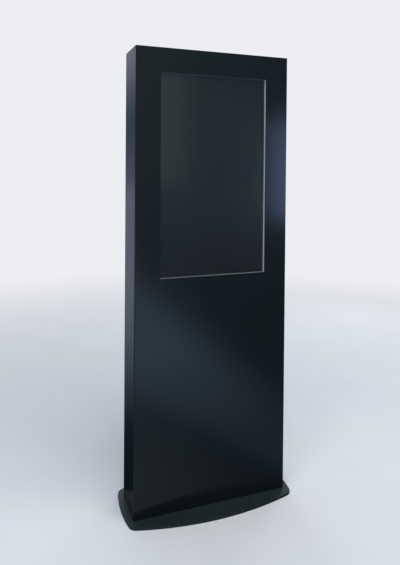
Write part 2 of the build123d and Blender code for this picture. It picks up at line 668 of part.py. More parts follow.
def display_board_cover():
    """Vented cover over the display's electronics, on the back of the tray."""
    half_x = BOARD_COVER_HALF_WIDTH
    low = BOARD_COVER_LOW
    high = BOARD_COVER_HIGH
    back = MODULE_BACK + BOARD_COVER_DEPTH
    cover = block((-half_x, half_x), (MODULE_BACK, back), (low, high))
    cover = chamfer(cover.faces().sort_by(Axis.Y)[-1].edges(), BOARD_COVER_CHAMFER)
    inner_x = (-half_x + BEZEL_SHEET, half_x - BEZEL_SHEET)
    inner_z = (low + BEZEL_SHEET, high - BEZEL_SHEET)
    inner = block(inner_x, (MODULE_BACK - OVERCUT, back - BEZEL_SHEET), inner_z)
    cover -= chamfer(inner.faces().sort_by(Axis.Y)[-1].edges(), BOARD_COVER_CHAMFER)
    for row in range(BOARD_SLOT_ROWS):
        z = high - BOARD_SLOT_BORDER - row * SLOT_PITCH
        for x in (-BOARD_SLOT_X, BOARD_SLOT_X):
            cover -= slot_y(x, z, BOARD_SLOT_LENGTH, SLOT_WIDTH, (back - SLOT_REACH, back + OVERCUT))
    return cover


def display_rail(side):
    """Hat-section rail screwed to the tray and hung on the cross bars."""
    low = CUTOUT_CENTRE - RAIL_LENGTH / 2
    height = (low, low + RAIL_LENGTH)
    left = RAIL_X - RAIL_WIDTH / 2
    right = RAIL_X + RAIL_WIDTH / 2
    back = MODULE_BACK + RAIL_DEPTH
    rail = block((left, right), (back - SHEET, back), height)
    rail += block((left, left + SHEET), (MODULE_BACK, back), height)
    rail += block((right - SHEET, right), (MODULE_BACK, back), height)
    flange_y = (MODULE_BACK, MODULE_BACK + SHEET)
    rail += block((left - RAIL_FLANGE, left + SHEET), flange_y, height)
    rail += block((right - SHEET, right + RAIL_FLANGE), flange_y, height)
    for z in CROSS_BAR_HEIGHTS:
        hole_y = (back - SHEET - OVERCUT, back + OVERCUT)
        rail -= rod_y(RAIL_X, hole_y, z, FRAME_BOLT_RADIUS + BOLT_PLAY)
    return rail if side > 0 else mirrored_x(rail)


def touch_controller():
    """Small closed box on the tray that reads the touch sensor."""
    box = block(CONTROLLER_X, (MODULE_BACK, MODULE_BACK + CONTROLLER_DEPTH), CONTROLLER_Z)
    return fillet(box.edges().filter_by(Axis.Y), 3.0)


# Shelf and electronics


def equipment_shelf():
    """Folded shelf bolted between the uprights."""
    half = UPRIGHT_INSIDE
    depth = (SHELF_FRONT, SHELF_BACK)
    inner = half - SHEET
    shelf = block((-inner, inner), depth, (SHELF_TOP - SHEET, SHELF_TOP))
    for side in (-1, 1):
        flange = sorted((side * inner, side * half))
        shelf += block(flange, (FRAME_FRONT, FRAME_BACK), (SHELF_TOP - SHELF_FLANGE, SHELF_TOP))
        for y in shelf_bolt_places():
            ends = sorted((side * (inner - OVERCUT), side * (half + OVERCUT)))
            shelf -= rod_x(ends, y, SHELF_BOLT_Z, FRAME_BOLT_RADIUS + BOLT_PLAY)
    lip_z = (SHELF_TOP, SHELF_TOP + SHELF_LIP)
    shelf += block((-inner, inner), (SHELF_FRONT, SHELF_FRONT + SHEET), lip_z)
    hole_z = (SHELF_TOP - SHEET - OVERCUT, SHELF_TOP + OVERCUT)
    shelf -= rod_z(mains_run_x(), FRAME_MIDDLE, hole_z, MAINS_RADIUS + 1.0)
    return shelf


def player_case():
    """Media player computer, a flat box with a finned lid."""
    top = SHELF_TOP + PLAYER_HEIGHT
    case = block(PLAYER_X, PLAYER_Y, (SHELF_TOP, top))
    case = fillet(case.edges().filter_by(Axis.Z), 4.0)
    for fin in range(FIN_COUNT):
        x = PLAYER_X[0] + FIN_BORDER + fin * FIN_PITCH
        case -= block((x, x + FIN_GAP), PLAYER_Y, (top - FIN_DEPTH, top + OVERCUT))
    hole_y = (PLAYER_Y[1] - BUTTON_LENGTH - OVERCUT, PLAYER_Y[1] + OVERCUT)
    case -= rod_y(BUTTON_X, hole_y, BUTTON_Z, BUTTON_RADIUS + CLEARANCE)
    return case


def player_button():
    """Push button in the player's back face."""
    back = PLAYER_Y[1] + BUTTON_TRAVEL + 0.5
    button = rod_y(BUTTON_X, (back - BUTTON_LENGTH, back), BUTTON_Z, BUTTON_RADIUS)
    return chamfer(button.edges().group_by(Axis.Y)[-1], 0.5)


def socket_strip():
    """Five-way socket strip lying on the shelf, with two of its outlets free."""
    top = SHELF_TOP + STRIP_HEIGHT
    depth = (-STRIP_HALF_DEPTH, STRIP_HALF_DEPTH)
    strip = block(STRIP_X, depth, (SHELF_TOP, top))
    strip = fillet(strip.edges().filter_by(Axis.X), 5.0)
    for x in OUTLETS_FREE:
        strip -= rod_z(x, 0, (top - OUTLET_DEPTH, top + OVERCUT), OUTLET_RADIUS)
    return strip


def inlet_body_limits():
    """X and Z limits of the inlet's body in the lower panel."""
    limits_x = (INLET_X - INLET_HALF_WIDTH, INLET_X + INLET_HALF_WIDTH)
    return limits_x, (INLET_Z - INLET_BELOW, INLET_Z + INLET_HALF_WIDTH)


def power_inlet():
    """Flanged appliance inlet with three pins and a switch well below it."""
    body_x, body_z = inlet_body_limits()
    body_x = (body_x[0] + CLEARANCE, body_x[1] - CLEARANCE)
    body_z = (body_z[0] + CLEARANCE, body_z[1] - CLEARANCE)
    front = BACK - INLET_DEPTH
    face = BACK + INLET_PROUD
    inlet = block(body_x, (front, BACK), body_z)
    flange_x = (body_x[0] - INLET_FLANGE, body_x[1] + INLET_FLANGE)
    flange_z = (body_z[0] - INLET_FLANGE, body_z[1] + INLET_FLANGE)
    flange = block(flange_x, (BACK, face), flange_z)
    inlet += fillet(flange.edges().filter_by(Axis.Y), 4.0)
    half_x, half_z = INLET_SOCKET_HALF
    socket_y = (BACK - INLET_SOCKET_DEPTH, face + OVERCUT)
    inlet -= block((INLET_X - half_x, INLET_X + half_x), socket_y, (INLET_Z - half_z, INLET_Z + half_z))
    half_x, half_z = INLET_PIN_HALF
    for x, z in INLET_PINS:
        blade = (INLET_X + x - half_x, INLET_X + x + half_x)
        pin_z = (INLET_Z + z - half_z, INLET_Z + z + half_z)
        inlet += block(blade, (BACK - INLET_SOCKET_DEPTH - OVERCUT, BACK - 2.0), pin_z)
    well_x, well_y, well_z = rocker_well()
    inlet -= block(well_x, well_y, well_z)
    pin_x = (INLET_X - ROCKER_PIN_HALF - CLEARANCE, INLET_X + ROCKER_PIN_HALF + CLEARANCE)
    pin_radius = ROCKER_PIN_RADIUS + RUNNING_CLEARANCE
    inlet -= rod_x(pin_x, rocker_axis_y(), INLET_Z - ROCKER_OFFSET, pin_radius)
    return inlet


def rocker_well():
    """Limits of the recess that the rocker turns in."""
    middle = INLET_Z - ROCKER_OFFSET
    half_x, half_z = ROCKER_WELL_HALF
    well_x = (INLET_X - half_x, INLET_X + half_x)
    return well_x, (BACK - 14.0, BACK + 4.0), (middle - half_z, middle + half_z)


def power_rocker():
    """Rocker with two shallow faces on a pin, resting tipped to its off side."""
    half = ROCKER_HALF_WIDTH
    profile = Polygon(
        (BACK - 6.0, -5.4),
        (BACK + 2.6, -6.8),
        (BACK + 1.2, 0.0),
        (BACK + 2.6, 6.8),
        (BACK - 6.0, 5.4),
        align=None,
    )
    rocker = Pos(INLET_X - half, 0, 0) * extrude(Plane.YZ * profile, 2 * half)
    pin_x = (INLET_X - ROCKER_PIN_HALF, INLET_X + ROCKER_PIN_HALF)
    rocker += rod_x(pin_x, rocker_axis_y(), 0, ROCKER_PIN_RADIUS)
    tilt = Pos(0, rocker_axis_y(), 0) * Rot(-ROCKER_TILT, 0, 0) * Pos(0, -rocker_axis_y(), 0)
    return Pos(0, 0, INLET_Z - ROCKER_OFFSET) * tilt * rocker


def rocker_axis_y():
    """Y place of the rocker's pivot axis, which runs along X."""
    return BACK - 4.0


# Internal wiring


def mains_run_x():
    """X place of the mains lead where it climbs beside the right upright."""
    return UPRIGHT_INSIDE - 8.0


def cable(points, radius, bends):
    """Round cable along straight runs joined by tangent arcs, one radius per corner."""
    path = FilletPolyline(*points, radius=bends)
    section = Plane(origin=points[0], z_dir=path % 0) * Circle(radius)
    return sweep(section, path)


def mains_lead():
    """From the inlet, up beside the right upright, into the end of the socket strip."""
    run = mains_run_x()
    height = PLAYER_PLUG_Z
    points = [
        (INLET_X, BACK - INLET_DEPTH, INLET_Z),
        (INLET_X, FRAME_MIDDLE, INLET_Z),
        (run, FRAME_MIDDLE, INLET_Z + 60.0),
        (run, FRAME_MIDDLE, height),
        (STRIP_X[1], FRAME_MIDDLE, height),
    ]
    return cable(points, MAINS_RADIUS, [45.0, 60.0, 30.0])


def display_lead():
    """From a socket up behind the display to its board cover."""
    plane = CABLE_PLANE
    points = [
        (150.0, 0, STRIP_PLUG_TOP),
        (150.0, 0, 690.0),
        (120.0, plane, 790.0),
        (120.0, plane, BOARD_COVER_LOW),
    ]
    return cable(points, MAINS_RADIUS, [200.0, 200.0])


def player_lead():
    """From a socket across to the media player."""
    height = PLAYER_PLUG_Z
    points = [
        (60.0, 0, STRIP_PLUG_TOP),
        (60.0, 0, 680.0),
        (-5.0, 30.0, 680.0),
        (-5.0, 30.0, height),
        (PLAYER_X[1] + PLUG_LENGTH, 30.0, height),
    ]
    return cable(points, SIGNAL_RADIUS, [30.0, 32.0, 32.0])


def video_cable():
    """From the media player up to the display's board cover."""
    height = PLAYER_PLUG_Z
    plane = CABLE_PLANE
    points = [
        (PLAYER_X[1] + PLUG_LENGTH, -40.0, height),
        (-5.0, -40.0, height),
        (-5.0, -40.0, 700.0),
        (60.0, plane, 820.0),
        (60.0, plane, BOARD_COVER_LOW),
    ]
    return cable(points, SIGNAL_RADIUS, [34.0, 120.0, 120.0])


def touch_cable():
    """From the media player up to the touch controller."""
    height = PLAYER_PLUG_Z
    plane = MODULE_BACK + 6.0
    points = [
        (PLAYER_X[1] + PLUG_LENGTH, -10.0, height),
        (-15.0, -10.0, height),
        (-15.0, -10.0, 690.0),
        (-150.0, plane, 860.0),
        (-150.0, plane, CONTROLLER_Z[0]),
    ]
    return cable(points, SIGNAL_RADIUS, [25.0, 100.0, 100.0])


def fan_leads():
    """Thin leads: one links the two fans, one runs down to the socket strip."""
    side = FAN_SIZE / 2
    plane = FRAME_BACK + SHEET + FAN_DEPTH / 2
    link = [(-FAN_X + side, plane, FAN_Z), (FAN_X - side, plane, FAN_Z)]
    low = FAN_Z - 30.0
    outlet = OUTLETS_IN_USE[2]
    down = [
        (FAN_X + side, plane, low),
        (FAN_LEAD_X, plane, low),
        (FAN_LEAD_X, FAN_LEAD_Y, low - 80.0),
        (FAN_LEAD_X, FAN_LEAD_Y, 740.0),
        (outlet, 0, 670.0),
        (outlet, 0, STRIP_PLUG_TOP),
    ]
    straight = Line(*link)
    section = Plane(origin=link[0], z_dir=(1, 0, 0)) * Circle(FAN_LEAD_RADIUS)
    return group([sweep(section, straight), cable(down, FAN_LEAD_RADIUS, [30.0, 100.0, 60.0, 60.0])])


def cable_plugs():
    """Plugs on the strip's outlets and on the player's side."""
    plugs = []
    low = SHELF_TOP + STRIP_HEIGHT
    for x in OUTLETS_IN_USE:
        half = STRIP_PLUG_HALF
        plug = block((x - half, x + half), (-half, half), (low, low + PLUG_LENGTH))
        plugs.append(fillet(plug.edges().filter_by(Axis.Z), 4.0))
    half_y, half_z = PLAYER_PLUG_HALF
    for y in PLAYER_PLUG_Y:
        sides = (PLAYER_X[1], PLAYER_X[1] + PLUG_LENGTH)
        limits_z = (PLAYER_PLUG_Z - half_z, PLAYER_PLUG_Z + half_z)
        plug = block(sides, (y - half_y, y + half_y), limits_z)
        plugs.append(fillet(plug.edges().filter_by(Axis.X), 2.0))
    return group(plugs)


def clip(x, y, z, base, bore, along_y):
    """Saddle block round a vertical cable, standing on a face at base."""
    height = (z, z + CLIP_HEIGHT)
    if along_y:
        depth = sorted((base, y + math.copysign(CLIP_WALL, y - base)))
        saddle = block((x - CLIP_REACH, x + CLIP_REACH), depth, height)
    else:
        width = sorted((base, x + math.copysign(CLIP_WALL, x - base)))
        saddle = block(width, (y - CLIP_REACH, y + CLIP_REACH), height)
    return saddle - rod_z(x, y, (z - OVERCUT, z + CLIP_HEIGHT + OVERCUT), bore + CLEARANCE)


def cable_clips():
    """Clips on the tray, the right upright and the cross bars."""
    clips = []
    plane = CABLE_PLANE
    for z in (1045.0, 1230.0):
        clips.append(clip(120.0, plane, z, MODULE_BACK, MAINS_RADIUS, True))
        clips.append(clip(60.0, plane, z, MODULE_BACK, SIGNAL_RADIUS, True))
    for z in (200.0, 400.0):
        clips.append(clip(mains_run_x(), FRAME_MIDDLE, z, UPRIGHT_INSIDE, MAINS_RADIUS, False))
    for height in CROSS_BAR_HEIGHTS:
        z = height - 5.0
        if height == CROSS_BAR_HEIGHTS[1]:
            z = height - 13.0
        clips.append(clip(FAN_LEAD_X, FAN_LEAD_Y, z, FRAME_BACK, FAN_LEAD_RADIUS, True))
    return group(clips)


# Fans


def fan_bracket():
    """Flat plate across the uprights that carries both fans."""
    y = (FRAME_BACK, FRAME_BACK + SHEET)
    height = (FAN_Z - FAN_PLATE_HALF_HEIGHT, FAN_Z + FAN_PLATE_HALF_HEIGHT)
    plate = block((-UPRIGHT_OUTSIDE, UPRIGHT_OUTSIDE), y, height)
    cut_y = (y[0] - OVERCUT, y[1] + OVERCUT)
    for side in (-1, 1):
        plate -= rod_y(side * FAN_X, cut_y, FAN_Z, FAN_BORE)
        for z in (FAN_Z - FAN_PLATE_BOLT_OFFSET, FAN_Z + FAN_PLATE_BOLT_OFFSET):
            plate -= rod_y(side * UPRIGHT_X, cut_y, z, FRAME_BOLT_RADIUS + BOLT_PLAY)
    return plate


def fan_frame(side):
    """Square fan frame with a motor base on four spokes at its back."""
    x = side * FAN_X
    front = FRAME_BACK + SHEET
    back = front + FAN_DEPTH
    half = FAN_SIZE / 2
    frame = block((x - half, x + half), (front, back), (FAN_Z - half, FAN_Z + half))
    frame = fillet(frame.edges().filter_by(Axis.Y), 6.0)
    through = (front - OVERCUT, back + OVERCUT)
    frame -= rod_y(x, through, FAN_Z, FAN_BORE)
    for dx in (-FAN_SCREW_OFFSET, FAN_SCREW_OFFSET):
        for dz in (-FAN_SCREW_OFFSET, FAN_SCREW_OFFSET):
            frame -= rod_y(x + dx, through, FAN_Z + dz, SCREW_HOLE_RADIUS)
    spoke_y = (back - 4.0, back)
    reach = FAN_BORE + 1.0
    half = SPOKE_WIDTH / 2
    frame += block((x - reach, x + reach), spoke_y, (FAN_Z - half, FAN_Z + half))
    frame += block((x - half, x + half), spoke_y, (FAN_Z - reach, FAN_Z + reach))
    frame += rod_y(x, spoke_y, FAN_Z, FAN_HUB_RADIUS)
    frame -= rod_y(x, (back - 5.0, back - 1.0), FAN_Z, FAN_SHAFT_RADIUS + RUNNING_CLEARANCE)
    return frame


def fan_rotor(side):
    """Hub with pitched blades on a short shaft that runs in the motor base."""
    x = side * FAN_X
    front = FRAME_BACK + SHEET + 1.5
    hub_back = front + 18.5
    rotor = rod_y(x, (front, hub_back), FAN_Z, FAN_HUB_RADIUS)
    rotor = fillet(rotor.edges().group_by(Axis.Y)[0], 2.0)
    rotor += rod_y(x, (hub_back - 1.0, hub_back + 3.5), FAN_Z, FAN_SHAFT_RADIUS)
    middle = (front + hub_back) / 2
    span = FAN_BORE - 2.5 - FAN_HUB_RADIUS + 2.0
    blade = Rot(0, 0, FAN_BLADE_PITCH) * Box(*FAN_BLADE_SIZE, span)
    blade = Pos(0, 0, FAN_HUB_RADIUS - 2.0 + span / 2) * blade
    for number in range(FAN_BLADES):
        turn = Rot(0, number * 360.0 / FAN_BLADES, 0)
        rotor += Pos(x, middle, FAN_Z) * turn * blade
    return rotor


def fan_guards():
    """Flat ring guards with crossed bars over the back of each fan."""
    guards = []
    back = FRAME_BACK + SHEET + FAN_DEPTH
    y = (back, back + GUARD_THICKNESS)
    for side in (-1, 1):
        x = side * FAN_X
        guard = rod_y(x, y, FAN_Z, GUARD_CENTRE_RADIUS)
        for radius in GUARD_RADII:
            guard += rod_y(x, y, FAN_Z, radius) - rod_y(x, y, FAN_Z, radius - GUARD_WIRE)
        arm = Pos(0, (y[0] + y[1]) / 2, 0) * Box(GUARD_ARM[0], y[1] - y[0], GUARD_ARM[1])
        cross = Pos(x, 0, FAN_Z) * (Rot(0, 45, 0) * arm + Rot(0, -45, 0) * arm)
        guard += cross
        guards.append(guard)
    return group(guards)


# Rear door


def hinge_screw_places():
    """Screw centres (x, z) in the door leaves; the fixed leaves mirror them."""
    places = []
    for z in HINGE_HEIGHTS:
        for offset in HINGE_SCREW_Z:
            places.append((HINGE_X - HINGE_SCREW_X, z + offset))
    return places


def vent_slots(x, z, rows):
    """Column of slots through the door's skin, centred on (x, z)."""
    slots = []
    for row in range(rows):
        height = z + (row - (rows - 1) / 2) * SLOT_PITCH
        slots.append(slot_y(x, height, SLOT_LENGTH, SLOT_WIDTH, (BACK - SLOT_REACH, BACK + OVERCUT)))
    return slots


def rear_door():
    """Folded door pan with exhaust slots by the fans and intake slots below."""
    limits_z = (DOOR_BOTTOM, DOOR_TOP)
    front = BACK - DOOR_DEPTH
    pan = block((-DOOR_HALF, DOOR_HALF), (front, BACK), limits_z)
    pan = fillet(pan.edges().filter_by(Axis.Z).group_by(Axis.Y)[-1], 1.5)
    inner_z = (DOOR_BOTTOM + SHEET, DOOR_TOP - SHEET)
    inner_x = (-DOOR_HALF + SHEET, DOOR_HALF - SHEET)
    pan -= block(inner_x, (front - OVERCUT, BACK_INSIDE), inner_z)
    for side in (-1, 1):
        for slot in vent_slots(side * FAN_X, FAN_Z, EXHAUST_ROWS):
            pan -= slot
    for x in INTAKE_COLUMNS:
        for slot in vent_slots(x, INTAKE_Z, INTAKE_ROWS):
            pan -= slot
    for z in LOCK_HEIGHTS:
        pan -= rod_y(LOCK_X, (front, BACK + OVERCUT), z, LOCK_BARREL_RADIUS + CLEARANCE)
    for x, z in hinge_screw_places():
        pan -= rod_y(x, (BACK_INSIDE - OVERCUT, BACK + OVERCUT), z, SCREW_HOLE_RADIUS)
    return pan


def door_seal():
    """Foam strip all round the door stops."""
    middle = (DOOR_BOTTOM + DOOR_TOP) / 2
    outer = (DOOR_HALF - 0.5, (DOOR_TOP - DOOR_BOTTOM) / 2 - 2.0)
    inner = (outer[0] - SEAL_WIDTH, outer[1] - SEAL_WIDTH)
    return ring_y(inner, outer, (STOP_BACK, STOP_BACK + SEAL_THICKNESS), middle)


def hinge_leaf(z, side):
    """One leaf; side +1 is fixed to the shell and has the two end knuckles."""
    half = HINGE_LENGTH / 2
    third = HINGE_LENGTH / 6
    gap = 0.3
    near = 5.5
    outer_x = sorted((HINGE_X + side * near, HINGE_X + side * LEAF_WIDTH))
    leaf_y = (BACK, BACK + SHEET)
    leaf = block(outer_x, leaf_y, (z - half, z + half))
    spans = [(z - half, z - third - gap), (z + third + gap, z + half)]
    if side < 0:
        spans = [(z - third, z + third)]
    for span in spans:
        bridge_x = sorted((HINGE_X, HINGE_X + side * (near + 1.0)))
        leaf += block(bridge_x, leaf_y, span)
        leaf += rod_z(HINGE_X, HINGE_Y, span, KNUCKLE_RADIUS)
    for span in spans:
        bore = (span[0] - OVERCUT, span[1] + OVERCUT)
        leaf -= rod_z(HINGE_X, HINGE_Y, bore, PIN_RADIUS + RUNNING_CLEARANCE)
    hole_y = (BACK - OVERCUT, BACK + SHEET + OVERCUT)
    for offset in HINGE_SCREW_Z:
        leaf -= rod_y(HINGE_X + side * HINGE_SCREW_X, hole_y, z + offset, SCREW_HOLE_RADIUS)
    return leaf


def hinge_leaves(side):
    """All three leaves of one side."""
    return group([hinge_leaf(z, side) for z in HINGE_HEIGHTS])


def hinge_pins():
    """Headed pins through the knuckles."""
    pins = []
    for z in HINGE_HEIGHTS:
        half = HINGE_LENGTH / 2
        pin = rod_z(HINGE_X, HINGE_Y, (z - half - 1.0, z + half + 1.0), PIN_RADIUS)
        pin += rod_z(HINGE_X, HINGE_Y, (z + half, z + half + 1.5), PIN_RADIUS + 1.2)
        pins.append(pin)
    return group(pins)


def screws(places):
    """Pan-head screws through a hinge leaf, pointing to the front."""
    pieces = []
    for x, z in places:
        shank = rod_y(x, (BACK - 6.0, BACK + SHEET + 0.5), z, SCREW_RADIUS)
        head = rod_y(x, (BACK + SHEET, BACK + SHEET + 1.6), z, 3.8)
        head = fillet(head.edges().group_by(Axis.Y)[-1], 1.0)
        pieces.append(shank + head)
    return group(pieces)


def lock_barrels():
    """Fixed barrels of the two cam locks, with their clamping nuts."""
    barrels = []
    for z in LOCK_HEIGHTS:
        barrel = rod_y(LOCK_X, (CAM_BACK + 0.5, BACK + 1.0), z, LOCK_BARREL_RADIUS)
        head = rod_y(LOCK_X, (BACK, BACK + 2.5), z, LOCK_BARREL_RADIUS + 2.5)
        barrel += fillet(head.edges().group_by(Axis.Y)[-1], 1.0)
        nut_sketch = RegularPolygon(LOCK_NUT_FLAT, 6, major_radius=False)
        nut = Pos(LOCK_X, BACK_INSIDE, z) * Rot(90, 0, 0) * extrude(nut_sketch, LOCK_NUT_THICKNESS)
        barrel += nut
        bore = LOCK_PLUG_RADIUS + RUNNING_CLEARANCE
        barrel -= rod_y(LOCK_X, (CAM_BACK - 1.0, BACK + 4.0), z, bore)
        barrels.append(barrel)
    return group(barrels)


def lock_plug(z):
    """Turning plug with a key slot and a square end for the cam."""
    face = BACK + 2.2
    plug = rod_y(LOCK_X, (CAM_BACK + 0.2, face), z, LOCK_PLUG_RADIUS)
    half = CAM_SQUARE / 2
    square_y = (CAM_BACK - CAM_THICKNESS - 1.5, CAM_BACK + 1.0)
    plug += block((LOCK_X - half, LOCK_X + half), square_y, (z - half, z + half))
    plug -= block((LOCK_X - 0.8, LOCK_X + 0.8), (face - 12.0, face + 1.0), (z - 4.0, z + 4.0))
    return plug


def lock_cam(z):
    """Flat cam on the plug's square, resting unlocked and pointing up."""
    y = (CAM_BACK - CAM_THICKNESS, CAM_BACK)
    tip = z + CAM_LENGTH
    cam = rod_y(LOCK_X, y, z, CAM_HALF_WIDTH)
    cam += block((LOCK_X - CAM_HALF_WIDTH, LOCK_X + CAM_HALF_WIDTH), y, (z, tip - 3.0))
    cam += block((LOCK_X - 4.0, LOCK_X + 4.0), y, (tip - 4.0, tip))
    half = CAM_SQUARE / 2 + 0.1
    bore_y = (y[0] - OVERCUT, y[1] + OVERCUT)
    cam -= block((LOCK_X - half, LOCK_X + half), bore_y, (z - half, z + half))
    return cam


def filter_frame():
    """Folded frame that holds the intake filter behind the lower slots."""
    y = (BACK_INSIDE - FILTER_FRAME_DEPTH, BACK_INSIDE)
    outer = FILTER_HALF
    inner = (outer[0] - FILTER_SHEET, outer[1] - FILTER_SHEET)
    frame = ring_y(inner, outer, y, INTAKE_Z)
    lip = (outer[0] - FILTER_LIP, outer[1] - FILTER_LIP)
    frame += ring_y(lip, outer, (y[0], y[0] + FILTER_SHEET), INTAKE_Z)
    return frame


def filter_pad():
    """Pleated dust filter in the frame."""
    half_x, half_z = (half - FILTER_SHEET - FILTER_PLAY for half in FILTER_HALF)
    front = BACK_INSIDE - FILTER_FRAME_DEPTH + FILTER_SHEET + FILTER_PLAY
    y = (front, BACK_INSIDE - FILTER_PLAY)
    return block((-half_x, half_x), y, (INTAKE_Z - half_z, INTAKE_Z + half_z))


def fixed_screw_places():
    """Screw centres in the fixed hinge leaves."""
    return [(2 * HINGE_X - x, z) for x, z in hinge_screw_places()]


def all_parts():
    """Every node's name and shape."""
    trim_sides, trim_ends = screen_trim()
    return {
        "base_plate": base_plate(),
        "foot_angles": foot_angles(),
        "base_bolts": base_bolts(),
        "front_shell": front_shell(),
        "top_cover": top_cover(),
        "rear_lower_panel": rear_lower_panel(),
        "door_stop_left": door_stop(-1),
        "door_stop_right": door_stop(1),
        "upright_left": upright(-1),
        "upright_right": upright(1),
        "cross_bars": cross_bars(),
        "shell_brackets": shell_brackets(),
        "frame_bolts": frame_bolts(),
        "screen_trim_sides": trim_sides,
        "screen_trim_ends": trim_ends,
        "glass_gasket": glass_gasket(),
        "touch_glass": touch_glass(),
        "glass_clamps": glass_clamps(),
        "lcd_bezel": lcd_bezel(),
        "lcd_cell": lcd_cell(),
        "backlight_tray": backlight_tray(),
        "display_board_cover": display_board_cover(),
        "display_rail_left": display_rail(-1),
        "display_rail_right": display_rail(1),
        "touch_controller": touch_controller(),
        "equipment_shelf": equipment_shelf(),
        "player_case": player_case(),
        "player_button": player_button(),
        "socket_strip": socket_strip(),
        "power_inlet": power_inlet(),
        "power_rocker": power_rocker(),
        "mains_lead": mains_lead(),
        "display_lead": display_lead(),
        "player_lead": player_lead(),
        "video_cable": video_cable(),
        "touch_cable": touch_cable(),
        "fan_leads": fan_leads(),
        "cable_plugs": cable_plugs(),
        "cable_clips": cable_clips(),
        "fan_bracket": fan_bracket(),
        "fan_frame_left": fan_frame(-1),
        "fan_frame_right": fan_frame(1),
        "fan_rotor_left": fan_rotor(-1),
        "fan_rotor_right": fan_rotor(1),
        "fan_guards": fan_guards(),
        "rear_door": rear_door(),
        "door_seal": door_seal(),
        "hinge_leaves_fixed": hinge_leaves(1),
        "hinge_leaves_door": hinge_leaves(-1),
        "hinge_pins": hinge_pins(),
        "hinge_screws_fixed": screws(fixed_screw_places()),
        "hinge_screws_door": screws(hinge_screw_places()),
        "lock_barrels": lock_barrels(),
        "lock_plug_lower": lock_plug(LOCK_HEIGHTS[0]),
        "lock_plug_upper": lock_plug(LOCK_HEIGHTS[1]),
        "lock_cam_lower": lock_cam(LOCK_HEIGHTS[0]),
        "lock_cam_upper": lock_cam(LOCK_HEIGHTS[1]),
        "filter_frame": filter_frame(),
        "filter_pad": filter_pad(),
    }


os.makedirs("parts", exist_ok=True)
for node, shape in all_parts().items():
    export_step(shape, f"parts/{node}.step")
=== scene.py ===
import json
import math

import bmesh
import bpy
from mathutils import Matrix, Vector


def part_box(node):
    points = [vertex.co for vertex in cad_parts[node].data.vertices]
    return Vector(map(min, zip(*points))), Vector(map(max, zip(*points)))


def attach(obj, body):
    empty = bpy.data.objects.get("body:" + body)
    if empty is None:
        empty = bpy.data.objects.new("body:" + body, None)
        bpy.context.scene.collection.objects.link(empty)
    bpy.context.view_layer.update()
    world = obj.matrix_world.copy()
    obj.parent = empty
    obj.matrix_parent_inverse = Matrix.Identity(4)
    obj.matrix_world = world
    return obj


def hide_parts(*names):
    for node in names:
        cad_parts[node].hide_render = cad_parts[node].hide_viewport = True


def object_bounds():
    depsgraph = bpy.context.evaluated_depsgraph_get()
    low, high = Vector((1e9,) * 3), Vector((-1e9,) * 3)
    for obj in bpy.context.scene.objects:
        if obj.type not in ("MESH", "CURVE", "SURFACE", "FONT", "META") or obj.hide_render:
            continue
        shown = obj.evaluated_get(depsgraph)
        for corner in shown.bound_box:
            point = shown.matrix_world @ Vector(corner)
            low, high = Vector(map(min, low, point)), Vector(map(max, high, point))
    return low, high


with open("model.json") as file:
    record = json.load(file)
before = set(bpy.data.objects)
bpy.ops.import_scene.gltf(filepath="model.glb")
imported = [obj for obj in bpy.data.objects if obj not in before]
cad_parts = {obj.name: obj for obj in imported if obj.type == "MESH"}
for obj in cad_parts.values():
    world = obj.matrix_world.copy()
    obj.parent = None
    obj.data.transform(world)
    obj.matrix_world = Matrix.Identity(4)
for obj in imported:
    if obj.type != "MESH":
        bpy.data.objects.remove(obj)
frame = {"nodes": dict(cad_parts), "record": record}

# Looks of the touchscreen kiosk. Everything is in metres in the row frame: +X to the right
# seen from the screen side, +Y to the back, +Z up.
CAD_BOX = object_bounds()
NODES = frame["nodes"]

# Camera, at the photograph's viewing angle
CAMERA_PLACE = (-0.8690, -2.2741, 1.5255)
CAMERA_YAW = 69.840
CAMERA_PITCH = -0.848
CAMERA_ROLL = 0.450
CAMERA_LENS = 33.405
CAMERA_SENSOR = 36.0
CAMERA_SHIFT_Y = -0.19
CAMERA_REACH = 200.0

# Softboxes, each as place, target, width, height, radiance and colour
OVERHEAD = ((0.5, -1.8, 4.3), (0.0, -0.2, 0.5), 2.8, 2.8, 4.2, (1.0, 1.0, 1.0))
FRONT_LEFT = ((-2.7, -2.3, 2.5), (0.0, -0.1, 1.3), 1.4, 1.6, 4.5, (1.0, 1.0, 1.0))
FRONT_RIGHT = ((2.24, -3.0, 1.50), (0.3, -0.1, 1.4), 0.74, 1.10, 4.2, (0.60, 0.80, 1.38))
BACK_LEFT = ((0.2, 3.6, 2.9), (0.0, 0.1, 1.0), 1.4, 1.4, 3.0, (1.0, 0.98, 0.95))
BACK_RIGHT = ((2.9, 2.4, 1.8), (0.0, 0.1, 1.0), 1.2, 2.2, 2.4, (0.92, 0.96, 1.0))

# Surroundings as the camera sees them
BACKDROP = (0.85, 0.855, 0.88)
FLOOR_RADIUS = 40.0
FLOOR_SEGMENTS = 96
FLOOR_DROP = 0.0002
FLOOR_PALE = (0.80, 0.80, 0.81)
FLOOR_FADE = (1.2, 5.5)
FLOOR_ROUGHNESS = 0.75
FLOOR_LEVEL = 0.2

